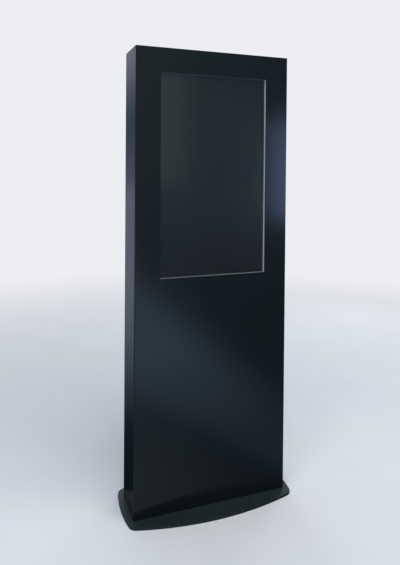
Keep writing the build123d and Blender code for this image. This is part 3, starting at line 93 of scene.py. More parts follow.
# Surroundings as everything but the camera sees them. Stops are (share of the reach, colour),
# and a turn is the stretch over which one colour gives way to the next.
ROOM_FRONT = [
    (0.0, (0.30, 0.38, 0.43)),
    (0.54, (0.33, 0.385, 0.42)),
    (0.70, (0.12, 0.155, 0.175)),
    (1.0, (0.085, 0.105, 0.13)),
]
ROOM_FRONT_REACH = 0.5
ROOM_BACK = [
    (0.0, (0.19, 0.25, 0.38)),
    (0.08, (0.14, 0.19, 0.30)),
    (0.23, (0.105, 0.16, 0.24)),
    (0.37, (0.235, 0.30, 0.41)),
    (0.50, (0.46, 0.52, 0.65)),
    (1.0, (0.52, 0.58, 0.70)),
]
ROOM_BACK_REACH = 0.4
ROOM_TURN = (-0.1, 0.6)
# Colours the floor glows with for every ray but the camera's: painted light, darkest close to the object as
# painted shade
FLOOR_BEHIND = [
    (0.0, (0.003, 0.006, 0.009)),
    (0.12, (0.006, 0.012, 0.016)),
    (0.18, (0.015, 0.034, 0.042)),
    (0.25, (0.062, 0.082, 0.112)),
    (0.35, (0.135, 0.170, 0.235)),
    (0.49, (0.225, 0.28, 0.37)),
    (0.69, (0.30, 0.37, 0.46)),
    (1.0, (0.33, 0.40, 0.52)),
]
FLOOR_BEHIND_REACH = 5.3
FLOOR_FAR_FRONT = [
    (0.0, (0.065, 0.060, 0.072)),
    (0.40, (0.085, 0.085, 0.100)),
    (1.0, (0.14, 0.165, 0.19)),
]
FLOOR_FAR_FRONT_REACH = (2.0, 15.0)
FLOOR_FAR_LEFT = [
    (0.0, (0.07, 0.075, 0.09)),
    (0.35, (0.16, 0.20, 0.23)),
    (1.0, (0.29, 0.365, 0.41)),
]
FLOOR_FAR_LEFT_REACH = (2.0, 20.0)
FLOOR_FAR_TURN = (0.20, 0.02)
FLOOR_NEAR_LEFT = (0.37, 0.44, 0.50)
FLOOR_NEAR_RIGHT = (0.07, 0.08, 0.12)
FLOOR_NEAR_TURN = (-0.25, 0.32)
FLOOR_BACK_TURN = (-0.20, 0.15)

# Bluish band on the reflected floor, like daylight from a window
BAND_COLOUR = (1.05, 1.55, 2.15)
BAND_ACROSS = (0.891, -0.454)
BAND_NEAR_SIDE = (0.34, 0.68)
BAND_FAR_SIDE = (1.05, 0.45)
BAND_FADE = (-0.6, -2.2, 0.25, 1.0)

# Colours of the materials
DUST = (0.16, 0.16, 0.15)
COAT = (0.0072, 0.0110, 0.0124)
BASE_COAT = (0.0155, 0.0220, 0.0235)
BEZEL_COAT = (0.016, 0.017, 0.018)
SIDE_ALUMINIUM = (0.80, 0.82, 0.84)
# The level trim ends are the same aluminium as the sides, painted darker: painted shade
SHADED_END_ALUMINIUM = (0.33, 0.345, 0.36)
PLAYER_ALUMINIUM = (0.15, 0.155, 0.165)
SEAL_BLACK = (0.020, 0.020, 0.021)
CONTROLLER_BLACK = (0.030, 0.030, 0.032)
PLASTIC_BLACK = (0.020, 0.020, 0.021)
CABLE_BLACK = (0.028, 0.028, 0.030)
FAN_BLACK = (0.024, 0.024, 0.026)
FAN_DUST = (0.14, 0.13, 0.12)
SOCKET_WHITE = (0.66, 0.65, 0.61)
SOCKET_WEAR = (0.38, 0.36, 0.32)
SWITCH_RED = (0.42, 0.030, 0.022)
SWITCH_WEAR = (0.20, 0.02, 0.02)
GUARD_BRIGHT = (0.62, 0.63, 0.64)
LOCK_BRIGHT = (0.66, 0.67, 0.68)

# Filter media. A point of 1 would fold it sharply, and a smaller one rounds the folds.
MEDIA_WALL = 0.0007
MEDIA_PLEATS = 34
MEDIA_STEPS = 8
MEDIA_ROWS = 10
MEDIA_FACE_GAP = 0.0002
MEDIA_SIDE_GAP = 0.0006
MEDIA_END_GAP = 0.0004
MEDIA_POINT = 0.97
MEDIA_LEAN = 0.0005
MEDIA_WAVE = (1.7, 4.0)

# Door seal with its ribs' centres, and gasket tape
SEAL_WIDTH = 0.012
SEAL_BASE = 0.0009
SEAL_RIBS = (0.0033, 0.0087)
SEAL_RIB_REACH = 0.0024
SEAL_SAMPLES = 30
TAPE_WIDTH = 0.006
TAPE_BULGE = 0.0003
TAPE_STEPS = 6

# Plugs. Grips are (share of the length, share of the width), strip plugs are (x, bore of the
# relief), and reliefs are (length, wall at the plug).
PLUG_GRIPS = [
    (0.0, 1.0), (0.14, 1.0), (0.20, 0.92), (0.26, 1.0), (0.36, 1.0), (0.42, 0.92),
    (0.48, 1.0), (0.58, 0.98), (0.64, 0.90), (0.70, 0.94), (0.92, 0.84), (1.0, 0.70),
]
STRIP_PLUGS = ((0.060, 0.0026), (0.150, 0.0036), (0.235, 0.0019))
STRIP_PLUG_RADIUS = 0.004
STRIP_RELIEF = (0.016, 0.0030)
PLAYER_PLUG_Y = (-0.040, -0.010, 0.030)
PLAYER_PLUG_RISE = 0.025
PLAYER_PLUG_HALF = (0.008, 0.005)
PLAYER_PLUG_RADIUS = 0.002
PLAYER_PLUG_BORE = 0.0026
PLAYER_RELIEF = (0.010, 0.0018)
RELIEF_SUNK = 0.0005
RELIEF_RIBS = 5
RELIEF_START = 0.16
RELIEF_SPAN = 0.80
RELIEF_TAPER = 0.62
RELIEF_TIP = 0.15
RIB_SHARE = 0.62
RIB_DEPTH = 0.0005
RIB_EDGE = 0.0002

# Free outlets. Turned sections are (along the axis, radius), and lofted ones are (along the
# axis, half width, half depth, corner radius).
OUTLET_X = (0.105, 0.195)
OUTLET_DEPTH = 0.003
OUTLET_PIN_SHIFTS = (-0.0042, 0.0042)
OUTLET_COLLAR = [
    (0.0, 0.0080), (0.0, 0.0097), (0.0031, 0.0097), (0.0035, 0.0093), (0.0035, 0.0087),
    (0.0026, 0.0084),
]
OUTLET_RIM = [(0.0, 0.0019), (0.0, 0.0027), (0.0006, 0.0026), (0.0007, 0.0019)]
OUTLET_HOLE = [
    (0.0, 0.0018, 0.0018, 0.00179),
    (0.0002, 0.0018, 0.0018, 0.00179),
    (0.0003, 0.0012, 0.0012, 0.00119),
]

# Player's ports: (place along the back, half width, half height, half height of the tongue),
# then its power jack and its lamp
PORTS = (
    (0.048, 0.0080, 0.0067, 0.0035),
    (0.074, 0.0070, 0.0035, 0.0010),
    (0.095, 0.0070, 0.0035, 0.0010),
    (0.118, 0.0078, 0.0031, 0.0009),
)
PORT_RISE = 0.022
PORT_WALL = 0.0005
PORT_PROUD = 0.0014
PORT_SKIN = 0.0003
TONGUE_SIDE_GAP = 0.0022
TONGUE_LIFT = 0.0006
JACK_ALONG = 0.022
JACK_SLEEVE = [(0.0, 0.0030), (0.0, 0.0050), (0.0018, 0.0050), (0.0021, 0.0047), (0.0021, 0.0030)]
JACK_WELL = [(0.0, 0.0028, 0.0028, 0.00279), (0.0004, 0.0028, 0.0028, 0.00279)]
JACK_PIN = [(0.0, 0.0004), (0.0, 0.0009), (0.0017, 0.0009), (0.0020, 0.0006), (0.0020, 0.0004)]
LAMP_ALONG = 0.152
LAMP_RING = [(0.0, 0.0012), (0.0, 0.0022), (0.0006, 0.0021), (0.0009, 0.0012)]
LAMP_LENS = [(0.0, 0.0011, 0.0011, 0.00109), (0.0007, 0.0010, 0.0010, 0.00099)]

# Rubber lip round the cable entry
ENTRY_PLACE = (-0.130, 0.030)
ENTRY_BORE = 0.0262
ENTRY_EDGE = 0.0299
ENTRY_LIP = 0.0352


# ---------------------------------------------------------------- camera, lights and floor


def add_camera():
    """Camera at the photograph's place, turned by yaw, pitch and roll."""
    yaw, pitch, roll = (math.radians(a) for a in (CAMERA_YAW, CAMERA_PITCH, CAMERA_ROLL))
    forward = Vector((math.cos(pitch) * math.cos(yaw), math.cos(pitch) * math.sin(yaw), math.sin(pitch)))
    level = Vector((math.sin(yaw), -math.cos(yaw), 0.0))
    up = level.cross(forward)
    right = math.cos(roll) * level + math.sin(roll) * up
    top = -math.sin(roll) * level + math.cos(roll) * up
    data = bpy.data.cameras.new("camera")
    data.lens = CAMERA_LENS
    data.sensor_width = CAMERA_SENSOR
    data.shift_y = CAMERA_SHIFT_Y
    data.clip_end = CAMERA_REACH
    camera = bpy.data.objects.new("camera", data)
    rotation = Matrix((right, top, -forward)).transposed().to_4x4()
    camera.matrix_world = Matrix.Translation(CAMERA_PLACE) @ rotation
    bpy.context.collection.objects.link(camera)
    bpy.context.scene.camera = camera


def add_softbox(name, box, glossy=True, diffuse=True):
    """Soft rectangular lamp that the camera doesn't see; box is one of the softboxes above."""
    place, target, width, height, radiance, colour = box
    data = bpy.data.lights.new(name, "AREA")
    data.shape = "RECTANGLE"
    data.size = width
    data.size_y = height
    data.energy = radiance * width * height * math.pi
    data.color = colour
    lamp = bpy.data.objects.new(name, data)
    lamp.location = place
    lamp.rotation_euler = (Vector(target) - Vector(place)).to_track_quat("-Z", "Y").to_euler()
    lamp.visible_camera = False
    lamp.visible_glossy = glossy
    lamp.visible_diffuse = diffuse
    bpy.context.collection.objects.link(lamp)


def add_lights():
    """Plain soft studio light; the lamp at the front right only shows in reflections."""
    add_softbox("overhead", OVERHEAD, glossy=False)
    add_softbox("front_left", FRONT_LEFT, glossy=False)
    add_softbox("front_right", FRONT_RIGHT, diffuse=False)
    add_softbox("back_left", BACK_LEFT)
    add_softbox("back_right", BACK_RIGHT)


def add_world():
    """Pale to the camera, and a soft grey room for everything else."""
    world = bpy.data.worlds.new("studio")
    bpy.context.scene.world = world
    world.use_nodes = True
    tree = world.node_tree
    tree.nodes.clear()
    output = tree.nodes.new("ShaderNodeOutputWorld")
    seen = tree.nodes.new("ShaderNodeBackground")
    seen.inputs["Color"].default_value = (*BACKDROP, 1)
    room = tree.nodes.new("ShaderNodeBackground")
    path = tree.nodes.new("ShaderNodeLightPath")
    mix = tree.nodes.new("ShaderNodeMixShader")
    tree.links.new(path.outputs["Is Camera Ray"], mix.inputs[0])
    tree.links.new(room.outputs[0], mix.inputs[1])
    tree.links.new(seen.outputs[0], mix.inputs[2])
    tree.links.new(mix.outputs[0], output.inputs["Surface"])
    direction = tree.nodes.new("ShaderNodeTexCoord")
    split = tree.nodes.new("ShaderNodeSeparateXYZ")
    tree.links.new(direction.outputs["Generated"], split.inputs[0])
    front = ramp(tree, split.outputs["X"], ROOM_FRONT, high=ROOM_FRONT_REACH)
    back = ramp(tree, split.outputs["Z"], ROOM_BACK, high=ROOM_BACK_REACH)
    side = map_range(tree, split.outputs["Y"], *ROOM_TURN)
    tree.links.new(mix_colour(tree, side, front, back), room.inputs["Color"])


def reflected_floor(tree, place, distance):
    """Colour the floor glows with for every ray but the camera's: painted light.

    It is dark close by, painted shade round the object, and lighter far away, with one soft bluish band of
    painted light in front to the right.
    """
    split = tree.nodes.new("ShaderNodeSeparateXYZ")
    tree.links.new(place, split.inputs[0])
    x, y = split.outputs["X"], split.outputs["Y"]
    behind = ramp(tree, distance, FLOOR_BEHIND, high=FLOOR_BEHIND_REACH)
    far_front = ramp(tree, distance, FLOOR_FAR_FRONT, *FLOOR_FAR_FRONT_REACH)
    far_left = ramp(tree, distance, FLOOR_FAR_LEFT, *FLOOR_FAR_LEFT_REACH)
    leftward = map_range(tree, math_node(tree, "DIVIDE", x, distance), *FLOOR_FAR_TURN)
    far_front = mix_colour(tree, leftward, far_front, far_left)
    across_x = math_node(tree, "MULTIPLY", x, BAND_ACROSS[0])
    across_y = math_node(tree, "MULTIPLY", y, BAND_ACROSS[1])
    past_near = math_node(tree, "ADD", across_x, across_y)
    near_side = map_range(tree, past_near, *BAND_NEAR_SIDE, smooth=True)
    far_side = map_range(tree, x, *BAND_FAR_SIDE, smooth=True)
    band = math_node(tree, "MULTIPLY", near_side, far_side)
    band = math_node(tree, "MULTIPLY", band, map_range(tree, y, *BAND_FADE))
    rightward = map_range(tree, x, *FLOOR_NEAR_TURN)
    near = mix_colour(tree, rightward, FLOOR_NEAR_LEFT, FLOOR_NEAR_RIGHT)
    front = mix_colour(tree, near_side, near, far_front)
    front = mix_colour(tree, band, front, BAND_COLOUR)
    return mix_colour(tree, map_range(tree, y, *FLOOR_BACK_TURN), front, behind)


def add_floor():
    """Plain pale floor that fades into the backdrop far from the object; to every ray but the camera's it
    glows with painted light and painted shade instead.
    """
    bm = bmesh.new()
    bmesh.ops.create_circle(bm, cap_ends=True, radius=FLOOR_RADIUS, segments=FLOOR_SEGMENTS)
    floor = finish_mesh(bm, "floor", None)
    floor.location.z = CAD_BOX[0][2] - FLOOR_DROP
    mat, tree, shader = new_material("floor_pale")
    shader.inputs["Roughness"].default_value = FLOOR_ROUGHNESS
    shader.inputs["Specular IOR Level"].default_value = FLOOR_LEVEL
    place = object_place(tree)
    grain = noise(tree, place, 3.0, detail=3.0)
    tint = ramp(tree, grain, [(0.3, scaled(FLOOR_PALE, 0.97)), (0.7, FLOOR_PALE)])
    tree.links.new(tint, shader.inputs["Base Color"])
    radius = tree.nodes.new("ShaderNodeVectorMath")
    radius.operation = "LENGTH"
    tree.links.new(place, radius.inputs[0])
    distance = radius.outputs["Value"]
    far = tree.nodes.new("ShaderNodeEmission")
    far.inputs["Color"].default_value = (*BACKDROP, 1)
    fade = map_range(tree, distance, *FLOOR_FADE, smooth=True)
    seen = tree.nodes.new("ShaderNodeMixShader")
    tree.links.new(fade, seen.inputs[0])
    tree.links.new(shader.outputs[0], seen.inputs[1])
    tree.links.new(far.outputs[0], seen.inputs[2])
    # Glow of the floor for every ray but the camera's: painted light and painted shade
    painted_floor_glow = tree.nodes.new("ShaderNodeEmission")
    tree.links.new(reflected_floor(tree, place, distance), painted_floor_glow.inputs["Color"])
    path = tree.nodes.new("ShaderNodeLightPath")
    mix = tree.nodes.new("ShaderNodeMixShader")
    tree.links.new(path.outputs["Is Camera Ray"], mix.inputs[0])
    tree.links.new(painted_floor_glow.outputs[0], mix.inputs[1])
    tree.links.new(seen.outputs[0], mix.inputs[2])
    output = tree.nodes["Material Output"]
    tree.links.new(mix.outputs[0], output.inputs["Surface"])
    mat.cycles.emission_sampling = "NONE"
    floor.data.materials.append(mat)


# ---------------------------------------------------------------- node helpers


def new_material(name, metallic=0.0, level=0.5):
    """A node material with its Principled shader."""
    mat = bpy.data.materials.new(name)
    mat.use_nodes = True
    tree = mat.node_tree
    shader = tree.nodes["Principled BSDF"]
    shader.inputs["Metallic"].default_value = metallic
    shader.inputs["Specular IOR Level"].default_value = level
    return mat, tree, shader


def object_place(tree, stretch=(1, 1, 1)):
    """Place on the object in metres, stretched along an axis if asked."""
    coords = tree.nodes.new("ShaderNodeTexCoord")
    if tuple(stretch) == (1, 1, 1):
        return coords.outputs["Object"]
    mapping = tree.nodes.new("ShaderNodeMapping")
    mapping.inputs["Scale"].default_value = stretch
    tree.links.new(coords.outputs["Object"], mapping.inputs["Vector"])
    return mapping.outputs["Vector"]


def noise(tree, place, scale, detail=2.0, rough=0.5):
    """Noise between 0 and 1 with the given number of features per metre."""
    node = tree.nodes.new("ShaderNodeTexNoise")
    node.inputs["Scale"].default_value = scale
    node.inputs["Detail"].default_value = detail
    node.inputs["Roughness"].default_value = rough
    tree.links.new(place, node.inputs["Vector"])
    return node.outputs["Fac"]


def cells(tree, place, scale):
    """Voronoi cells: (distance, colour) with the given number of cells per metre."""
    node = tree.nodes.new("ShaderNodeTexVoronoi")
    node.inputs["Scale"].default_value = scale
    tree.links.new(place, node.inputs["Vector"])
    return node.outputs["Distance"], node.outputs["Color"]


def map_range(tree, value, low, high, out_low=0.0, out_high=1.0, smooth=False):
    """value mapped from low..high to out_low..out_high, held at both ends."""
    node = tree.nodes.new("ShaderNodeMapRange")
    node.interpolation_type = "SMOOTHSTEP" if smooth else "LINEAR"
    for socket, number in zip(("From Min", "From Max", "To Min", "To Max"), (low, high, out_low, out_high)):
        node.inputs[socket].default_value = number
    tree.links.new(value, node.inputs["Value"])
    return node.outputs["Result"]


def ramp(tree, value, stops, low=0.0, high=1.0):
    """Colour ramp over low..high."""
    node = tree.nodes.new("ShaderNodeValToRGB")
    elements = node.color_ramp.elements
    while len(elements) < len(stops):
        elements.new(0.5)
    for element, (place, colour) in zip(elements, stops):
        element.position = place
        element.color = (*colour, 1)
    if (low, high) != (0.0, 1.0):
        value = map_range(tree, value, low, high)
    tree.links.new(value, node.inputs["Fac"])
    return node.outputs["Color"]


def math_node(tree, operation, a, b):
    """One math step on two values, each a socket or a number."""
    node = tree.nodes.new("ShaderNodeMath")
    node.operation = operation
    for socket, value in zip(node.inputs, (a, b)):
        if isinstance(value, (int, float)):
            socket.default_value = value
        else:
            tree.links.new(value, socket)
    return node.outputs[0]


def mix_colour(tree, amount, first, second):
    """first to second by amount; colours are sockets or triples."""
    node = tree.nodes.new("ShaderNodeMix")
    node.data_type = "RGBA"
    tree.links.new(amount, node.inputs[0])
    for socket, value in ((node.inputs[6], first), (node.inputs[7], second)):
        if isinstance(value, (tuple, list)):
            socket.default_value = (*value, 1)
        else:
            tree.links.new(value, socket)
    return node.outputs[2]


def bump(tree, shader, height, strength, depth):
    """Bump of the given height field; depth in metres."""
    node = tree.nodes.new("ShaderNodeBump")
    node.inputs["Strength"].default_value = strength
    node.inputs["Distance"].default_value = depth
    tree.links.new(height, node.inputs["Height"])
    tree.links.new(node.outputs["Normal"], shader.inputs["Normal"])


def facing_up(tree):
    """1 where the surface faces up, 0 on walls."""
    geometry = tree.nodes.new("ShaderNodeNewGeometry")
    split = tree.nodes.new("ShaderNodeSeparateXYZ")
    tree.links.new(geometry.outputs["Normal"], split.inputs[0])
    return map_range(tree, split.outputs["Z"], 0.5, 0.95)


def scaled(colour, factor):
    """colour times factor."""
    return tuple(c * factor for c in colour)


# ---------------------------------------------------------------- materials


def powder_coat(name, colour, roughness, level, grain, dust):
    """Powder coat: faint orange peel, cloudy gloss, and a little dust on ledges."""
    mat, tree, shader = new_material(name, level=level)
    place = object_place(tree)
    cloud = noise(tree, place, 2.3, detail=4.0)
    paint = ramp(tree, cloud, [(0.30, scaled(colour, 0.92)), (0.70, scaled(colour, 1.08))])
    fleck = map_range(tree, noise(tree, place, 900.0, detail=1.0), 0.55, 0.85, 0.0, 0.35)
    paint = mix_colour(tree, fleck, paint, scaled(colour, 1.8))
    settled = map_range(tree, noise(tree, place, 28.0, detail=5.0), 0.35, 0.75)
    film = math_node(tree, "MULTIPLY", math_node(tree, "MULTIPLY", facing_up(tree), settled), dust)
    tree.links.new(mix_colour(tree, film, paint, DUST), shader.inputs["Base Color"])
    smear = noise(tree, object_place(tree, (1, 1, 0.4)), 6.0, detail=3.0)
    gloss = map_range(tree, smear, 0.30, 0.75, roughness - 0.015, roughness + 0.025)
    gloss = math_node(tree, "ADD", gloss, math_node(tree, "MULTIPLY", film, 0.6))
    tree.links.new(gloss, shader.inputs["Roughness"])
    peel = noise(tree, place, 170.0, detail=1.0)
    bump(tree, shader, peel, strength=grain, depth=0.0004)
    return mat


def plated_steel(name, brightness, roughness, spots=0.12):
    """Zinc plating: cloudy blue and yellow tint, fine grain, a few dull spots."""
    mat, tree, shader = new_material(name, metallic=1.0)
    place = object_place(tree)
    cloud = noise(tree, place, 18.0, detail=4.0)
    tint = ramp(tree, cloud, [
        (0.30, scaled((0.94, 0.98, 1.04), brightness)),
        (0.52, scaled((1.0, 1.0, 1.0), brightness)),
        (0.75, scaled((1.05, 1.0, 0.90), brightness)),
    ])
    stain = map_range(tree, noise(tree, place, 90.0, detail=6.0, rough=0.7), 0.58, 0.78, 0.0, spots)
    tree.links.new(mix_colour(tree, stain, tint, (0.20, 0.18, 0.15)), shader.inputs["Base Color"])
    grain = noise(tree, object_place(tree, (1, 1, 0.06)), 900.0, detail=3.0)
    gloss = map_range(tree, grain, 0.3, 0.7, roughness - 0.06, roughness + 0.10)
    tree.links.new(gloss, shader.inputs["Roughness"])
    bump(tree, shader, grain, strength=0.12, depth=0.0002)
    return mat


def galvanised_steel(name):
    """Galvanised sheet with its crystal spangle."""
    mat, tree, shader = new_material(name, metallic=1.0)
    place = object_place(tree)
    distance, colour = cells(tree, place, 120.0)
    grey = tree.nodes.new("ShaderNodeRGBToBW")
    tree.links.new(colour, grey.inputs[0])
    spangle = grey.outputs[0]
    tint = ramp(tree, spangle, [(0.15, (0.50, 0.52, 0.55)), (0.85, (0.63, 0.65, 0.67))])
    dull = map_range(tree, noise(tree, place, 6.0, detail=5.0), 0.45, 0.75, 0.0, 0.35)
    tree.links.new(mix_colour(tree, dull, tint, (0.42, 0.43, 0.44)), shader.inputs["Base Color"])
    tree.links.new(map_range(tree, spangle, 0.1, 0.9, 0.36, 0.50), shader.inputs["Roughness"])
    bump(tree, shader, distance, strength=0.06, depth=0.0004)
    return mat


def brushed_aluminium(name, stretch, colour, roughness, metallic=0.75):
    """Satin anodised aluminium, brushed along one axis, with dull patches."""
    mat, tree, shader = new_material(name, metallic=metallic)
    brush = noise(tree, object_place(tree, stretch), 1400.0, detail=4.0, rough=0.6)
    cloud = noise(tree, object_place(tree), 9.0, detail=3.0)
    tint = ramp(tree, brush, [(0.30, scaled(colour, 0.86)), (0.70, scaled(colour, 1.08))])
    dull = map_range(tree, cloud, 0.45, 0.80, 0.0, 0.25)
    tree.links.new(mix_colour(tree, dull, tint, scaled(colour, 0.75)), shader.inputs["Base Color"])
    gloss = map_range(tree, brush, 0.3, 0.7, roughness - 0.06, roughness + 0.08)
    tree.links.new(gloss, shader.inputs["Roughness"])
    bump(tree, shader, brush, strength=0.10, depth=0.0001)
    return mat


def moulded_plastic(name, colour, roughness, grain=700.0, wear=(0.25, 0.25, 0.25)):
    """Moulded plastic: spark-eroded grain, slight colour drift, dusty rubbed patches."""
    mat, tree, shader = new_material(name)
    place = object_place(tree)
    drift = noise(tree, place, 12.0, detail=4.0)
    base = ramp(tree, drift, [(0.3, scaled(colour, 0.90)), (0.7, scaled(colour, 1.08))])
    rub = map_range(tree, noise(tree, place, 70.0, detail=6.0, rough=0.7), 0.58, 0.82, 0.0, 0.16)
    tree.links.new(mix_colour(tree, rub, base, wear), shader.inputs["Base Color"])
    texture = noise(tree, place, grain, detail=2.0)
    gloss = map_range(tree, drift, 0.3, 0.75, roughness - 0.05, roughness + 0.07)
    tree.links.new(gloss, shader.inputs["Roughness"])
    bump(tree, shader, texture, strength=0.18, depth=0.0003)
    return mat


def foam_rubber(name, colour):
    """Closed-cell foam with its fine pores, bumped in and painted darker as painted shade."""
    mat, tree, shader = new_material(name, level=0.3)
    place = object_place(tree)
    distance, _ = cells(tree, place, 1100.0)
    drift = noise(tree, place, 22.0, detail=4.0)
    skin = ramp(tree, drift, [(0.3, scaled(colour, 0.85)), (0.7, scaled(colour, 1.25))])
    # The pores get half the skin's colour: painted shade in the holes
    pore_shade = map_range(tree, distance, 0.05, 0.30)
    tree.links.new(mix_colour(tree, pore_shade, scaled(colour, 0.5), skin), shader.inputs["Base Color"])
    tree.links.new(map_range(tree, drift, 0.3, 0.7, 0.74, 0.88), shader.inputs["Roughness"])
    bump(tree, shader, distance, strength=0.5, depth=0.0004)
    return mat


def glass_pane(name):
    """Toughened touch glass with a faint film of fingerprints."""
    mat, tree, shader = new_material(name, level=0.42)
    place = object_place(tree)
    smear = noise(tree, object_place(tree, (1, 1, 0.6)), 11.0, detail=6.0, rough=0.62)
    touch = map_range(tree, smear, 0.50, 0.80)
    fine = map_range(tree, noise(tree, place, 320.0, detail=2.0), 0.4, 0.7)
    print_film = math_node(tree, "MULTIPLY", touch, fine)
    tree.links.new(map_range(tree, print_film, 0.0, 1.0, 0.075, 0.100), shader.inputs["Roughness"])
    tint = ramp(tree, smear, [(0.3, (0.86, 0.93, 0.92)), (0.7, (0.90, 0.96, 0.95))])
    tree.links.new(tint, shader.inputs["Base Color"])
    shader.inputs["Transmission Weight"].default_value = 1.0
    shader.inputs["IOR"].default_value = 1.5
    return mat


def polariser(name):
    """Dark front of the switched-off panel, with its fine matt grain and slow cloudiness."""
    mat, tree, shader = new_material(name, level=0.2)
    place = object_place(tree)
    cloud = noise(tree, place, 5.0, detail=3.0)
    tint = ramp(tree, cloud, [(0.3, (0.010, 0.0135, 0.0155)), (0.7, (0.013, 0.017, 0.0195))])
    tree.links.new(tint, shader.inputs["Base Color"])
    grain = noise(tree, place, 2500.0, detail=1.0)
    tree.links.new(map_range(tree, cloud, 0.3, 0.7, 0.36, 0.42), shader.inputs["Roughness"])
    bump(tree, shader, grain, strength=0.10, depth=0.0001)
    return mat


def bright_metal(name, colour, roughness):
    """Chrome or polished steel with fine scratches and fingermarks."""
    mat, tree, shader = new_material(name, metallic=1.0)
    place = object_place(tree)
    scratch = noise(tree, place, 700.0, detail=5.0, rough=0.7)
    smear = noise(tree, place, 55.0, detail=4.0)
    tint = ramp(tree, smear, [(0.3, scaled(colour, 0.90)), (0.7, colour)])
    tree.links.new(tint, shader.inputs["Base Color"])
    gloss = map_range(tree, smear, 0.35, 0.75, roughness, roughness + 0.14)
    tree.links.new(gloss, shader.inputs["Roughness"])
    bump(tree, shader, scratch, strength=0.08, depth=0.0001)
    return mat


def fleece(name):
    """Synthetic filter fleece, greyer where dust has gathered."""
    mat, tree, shader = new_material(name, level=0.2)
    place = object_place(tree)
    fibre = noise(tree, object_place(tree, (1, 0.4, 0.25)), 900.0, detail=5.0, rough=0.7)
    dirt = noise(tree, place, 16.0, detail=5.0)
    clean = ramp(tree, fibre, [(0.3, (0.50, 0.51, 0.50)), (0.7, (0.68, 0.69, 0.67))])
    grime = map_range(tree, dirt, 0.40, 0.75, 0.05, 0.55)
    tree.links.new(mix_colour(tree, grime, clean, (0.24, 0.23, 0.21)), shader.inputs["Base Color"])
    tree.links.new(map_range(tree, fibre, 0.3, 0.7, 0.88, 0.98), shader.inputs["Roughness"])
    shader.inputs["Sheen Weight"].default_value = 0.35
    shader.inputs["Sheen Roughness"].default_value = 0.5
    bump(tree, shader, fibre, strength=0.55, depth=0.0006)
    return mat


def make_materials():
    """One material for each of the record's slots, and a darker copy of the trim's aluminium for the two
    level trim angles, as painted shade.
    """
    along_x, along_z = (0.02, 1, 1), (1, 1, 0.02)
    return {
        "black_powder_coat": powder_coat(
            "black_powder_coat", COAT, roughness=0.17, level=0.25, grain=0.04, dust=0.05
        ),
        "base_powder_coat": powder_coat(
            "base_powder_coat", BASE_COAT, roughness=0.50, level=0.30, grain=0.30, dust=0.05
        ),
        "zinc_plated_steel": plated_steel("zinc_plated_steel", brightness=0.60, roughness=0.36),
        "steel_fastener": plated_steel("steel_fastener", brightness=0.55, roughness=0.30, spots=0.3),
        "hinge_steel": plated_steel("hinge_steel", brightness=0.34, roughness=0.34, spots=0.2),
        "anodised_aluminium": brushed_aluminium(
            "trim_sides", along_z, SIDE_ALUMINIUM, roughness=0.42, metallic=0.35
        ),
        # Darker copy of the trim aluminium for the level ends: painted shade
        "shaded_trim_ends": brushed_aluminium(
            "shaded_trim_ends", along_x, SHADED_END_ALUMINIUM, roughness=0.42, metallic=0.35
        ),
        "seal_rubber": foam_rubber("seal_rubber", SEAL_BLACK),
        "touch_glass": glass_pane("touch_glass"),
        "clamp_steel": plated_steel("clamp_steel", brightness=0.52, roughness=0.30),
        "bezel_steel": powder_coat(
            "bezel_steel", BEZEL_COAT, roughness=0.52, level=0.35, grain=0.30, dust=0.03
        ),
        "lcd_panel": polariser("lcd_panel"),
        "tray_steel": galvanised_steel("tray_steel"),
        "controller_plastic": moulded_plastic("controller_plastic", CONTROLLER_BLACK, roughness=0.48),
        "player_aluminium": brushed_aluminium(
            "player_aluminium", along_x, PLAYER_ALUMINIUM, roughness=0.36
        ),
        "black_plastic": moulded_plastic("black_plastic", PLASTIC_BLACK, roughness=0.42),
        "socket_plastic": moulded_plastic(
            "socket_plastic", SOCKET_WHITE, roughness=0.34, wear=SOCKET_WEAR
        ),
        "switch_plastic": moulded_plastic(
            "switch_plastic", SWITCH_RED, roughness=0.25, wear=SWITCH_WEAR
        ),
        "cable_pvc": moulded_plastic("cable_pvc", CABLE_BLACK, roughness=0.50, grain=500.0),
        "fan_plastic": moulded_plastic("fan_plastic", FAN_BLACK, roughness=0.40, wear=FAN_DUST),
        "guard_steel": bright_metal("guard_steel", GUARD_BRIGHT, roughness=0.16),
        "lock_chrome": bright_metal("lock_chrome", LOCK_BRIGHT, roughness=0.12),
        "cam_steel": plated_steel("cam_steel", brightness=0.52, roughness=0.32),
        "filter_fabric": fleece("filter_fabric"),
    }


def dress_nodes(materials):
    """Gives every CAD node the material of its slot in the record; the level trim angles get the darker
    copy of the trim aluminium, which is painted shade.
    """
    for subpart in frame["record"]["subparts"]:
        name = "shaded_trim_ends" if subpart["node"] == "screen_trim_ends" else subpart["material_slot"]
        for slot in NODES[subpart["node"]].material_slots:
            slot.material = materials[name]


# ---------------------------------------------------------------- mesh helpers


def finish_mesh(bm, name, material, sharp=None):
    """Makes a linked object of the mesh, smooth where its faces turn by less than sharp degrees."""
    mesh = bpy.data.meshes.new(name)
    bmesh.ops.recalc_face_normals(bm, faces=bm.faces)
    bm.to_mesh(mesh)
    bm.free()
    if sharp is not None:
        mesh.shade_smooth()
        mesh.set_sharp_from_angle(angle=math.radians(sharp))
    obj = bpy.data.objects.new(name, mesh)
    if material is not None:
        mesh.materials.append(material)
    bpy.context.collection.objects.link(obj)
    return obj


def ring_loop(bm, section, half_x, half_z, centre_z, centre_x=0.0):
    """Section carried round a rectangle with mitred corners; its points are (inwards, y)."""
    loops = []
    for inward, y in section:
        x, z = half_x - inward, half_z - inward
        corners = ((-x, -z), (x, -z), (x, z), (-x, z))
        loops.append([bm.verts.new((centre_x + cx, y, centre_z + cz)) for cx, cz in corners])
    for first, second in zip(loops, loops[1:] + loops[:1]):
        for k in range(4):
            n = (k + 1) % 4
            bm.faces.new((first[k], first[n], second[n], second[k]))


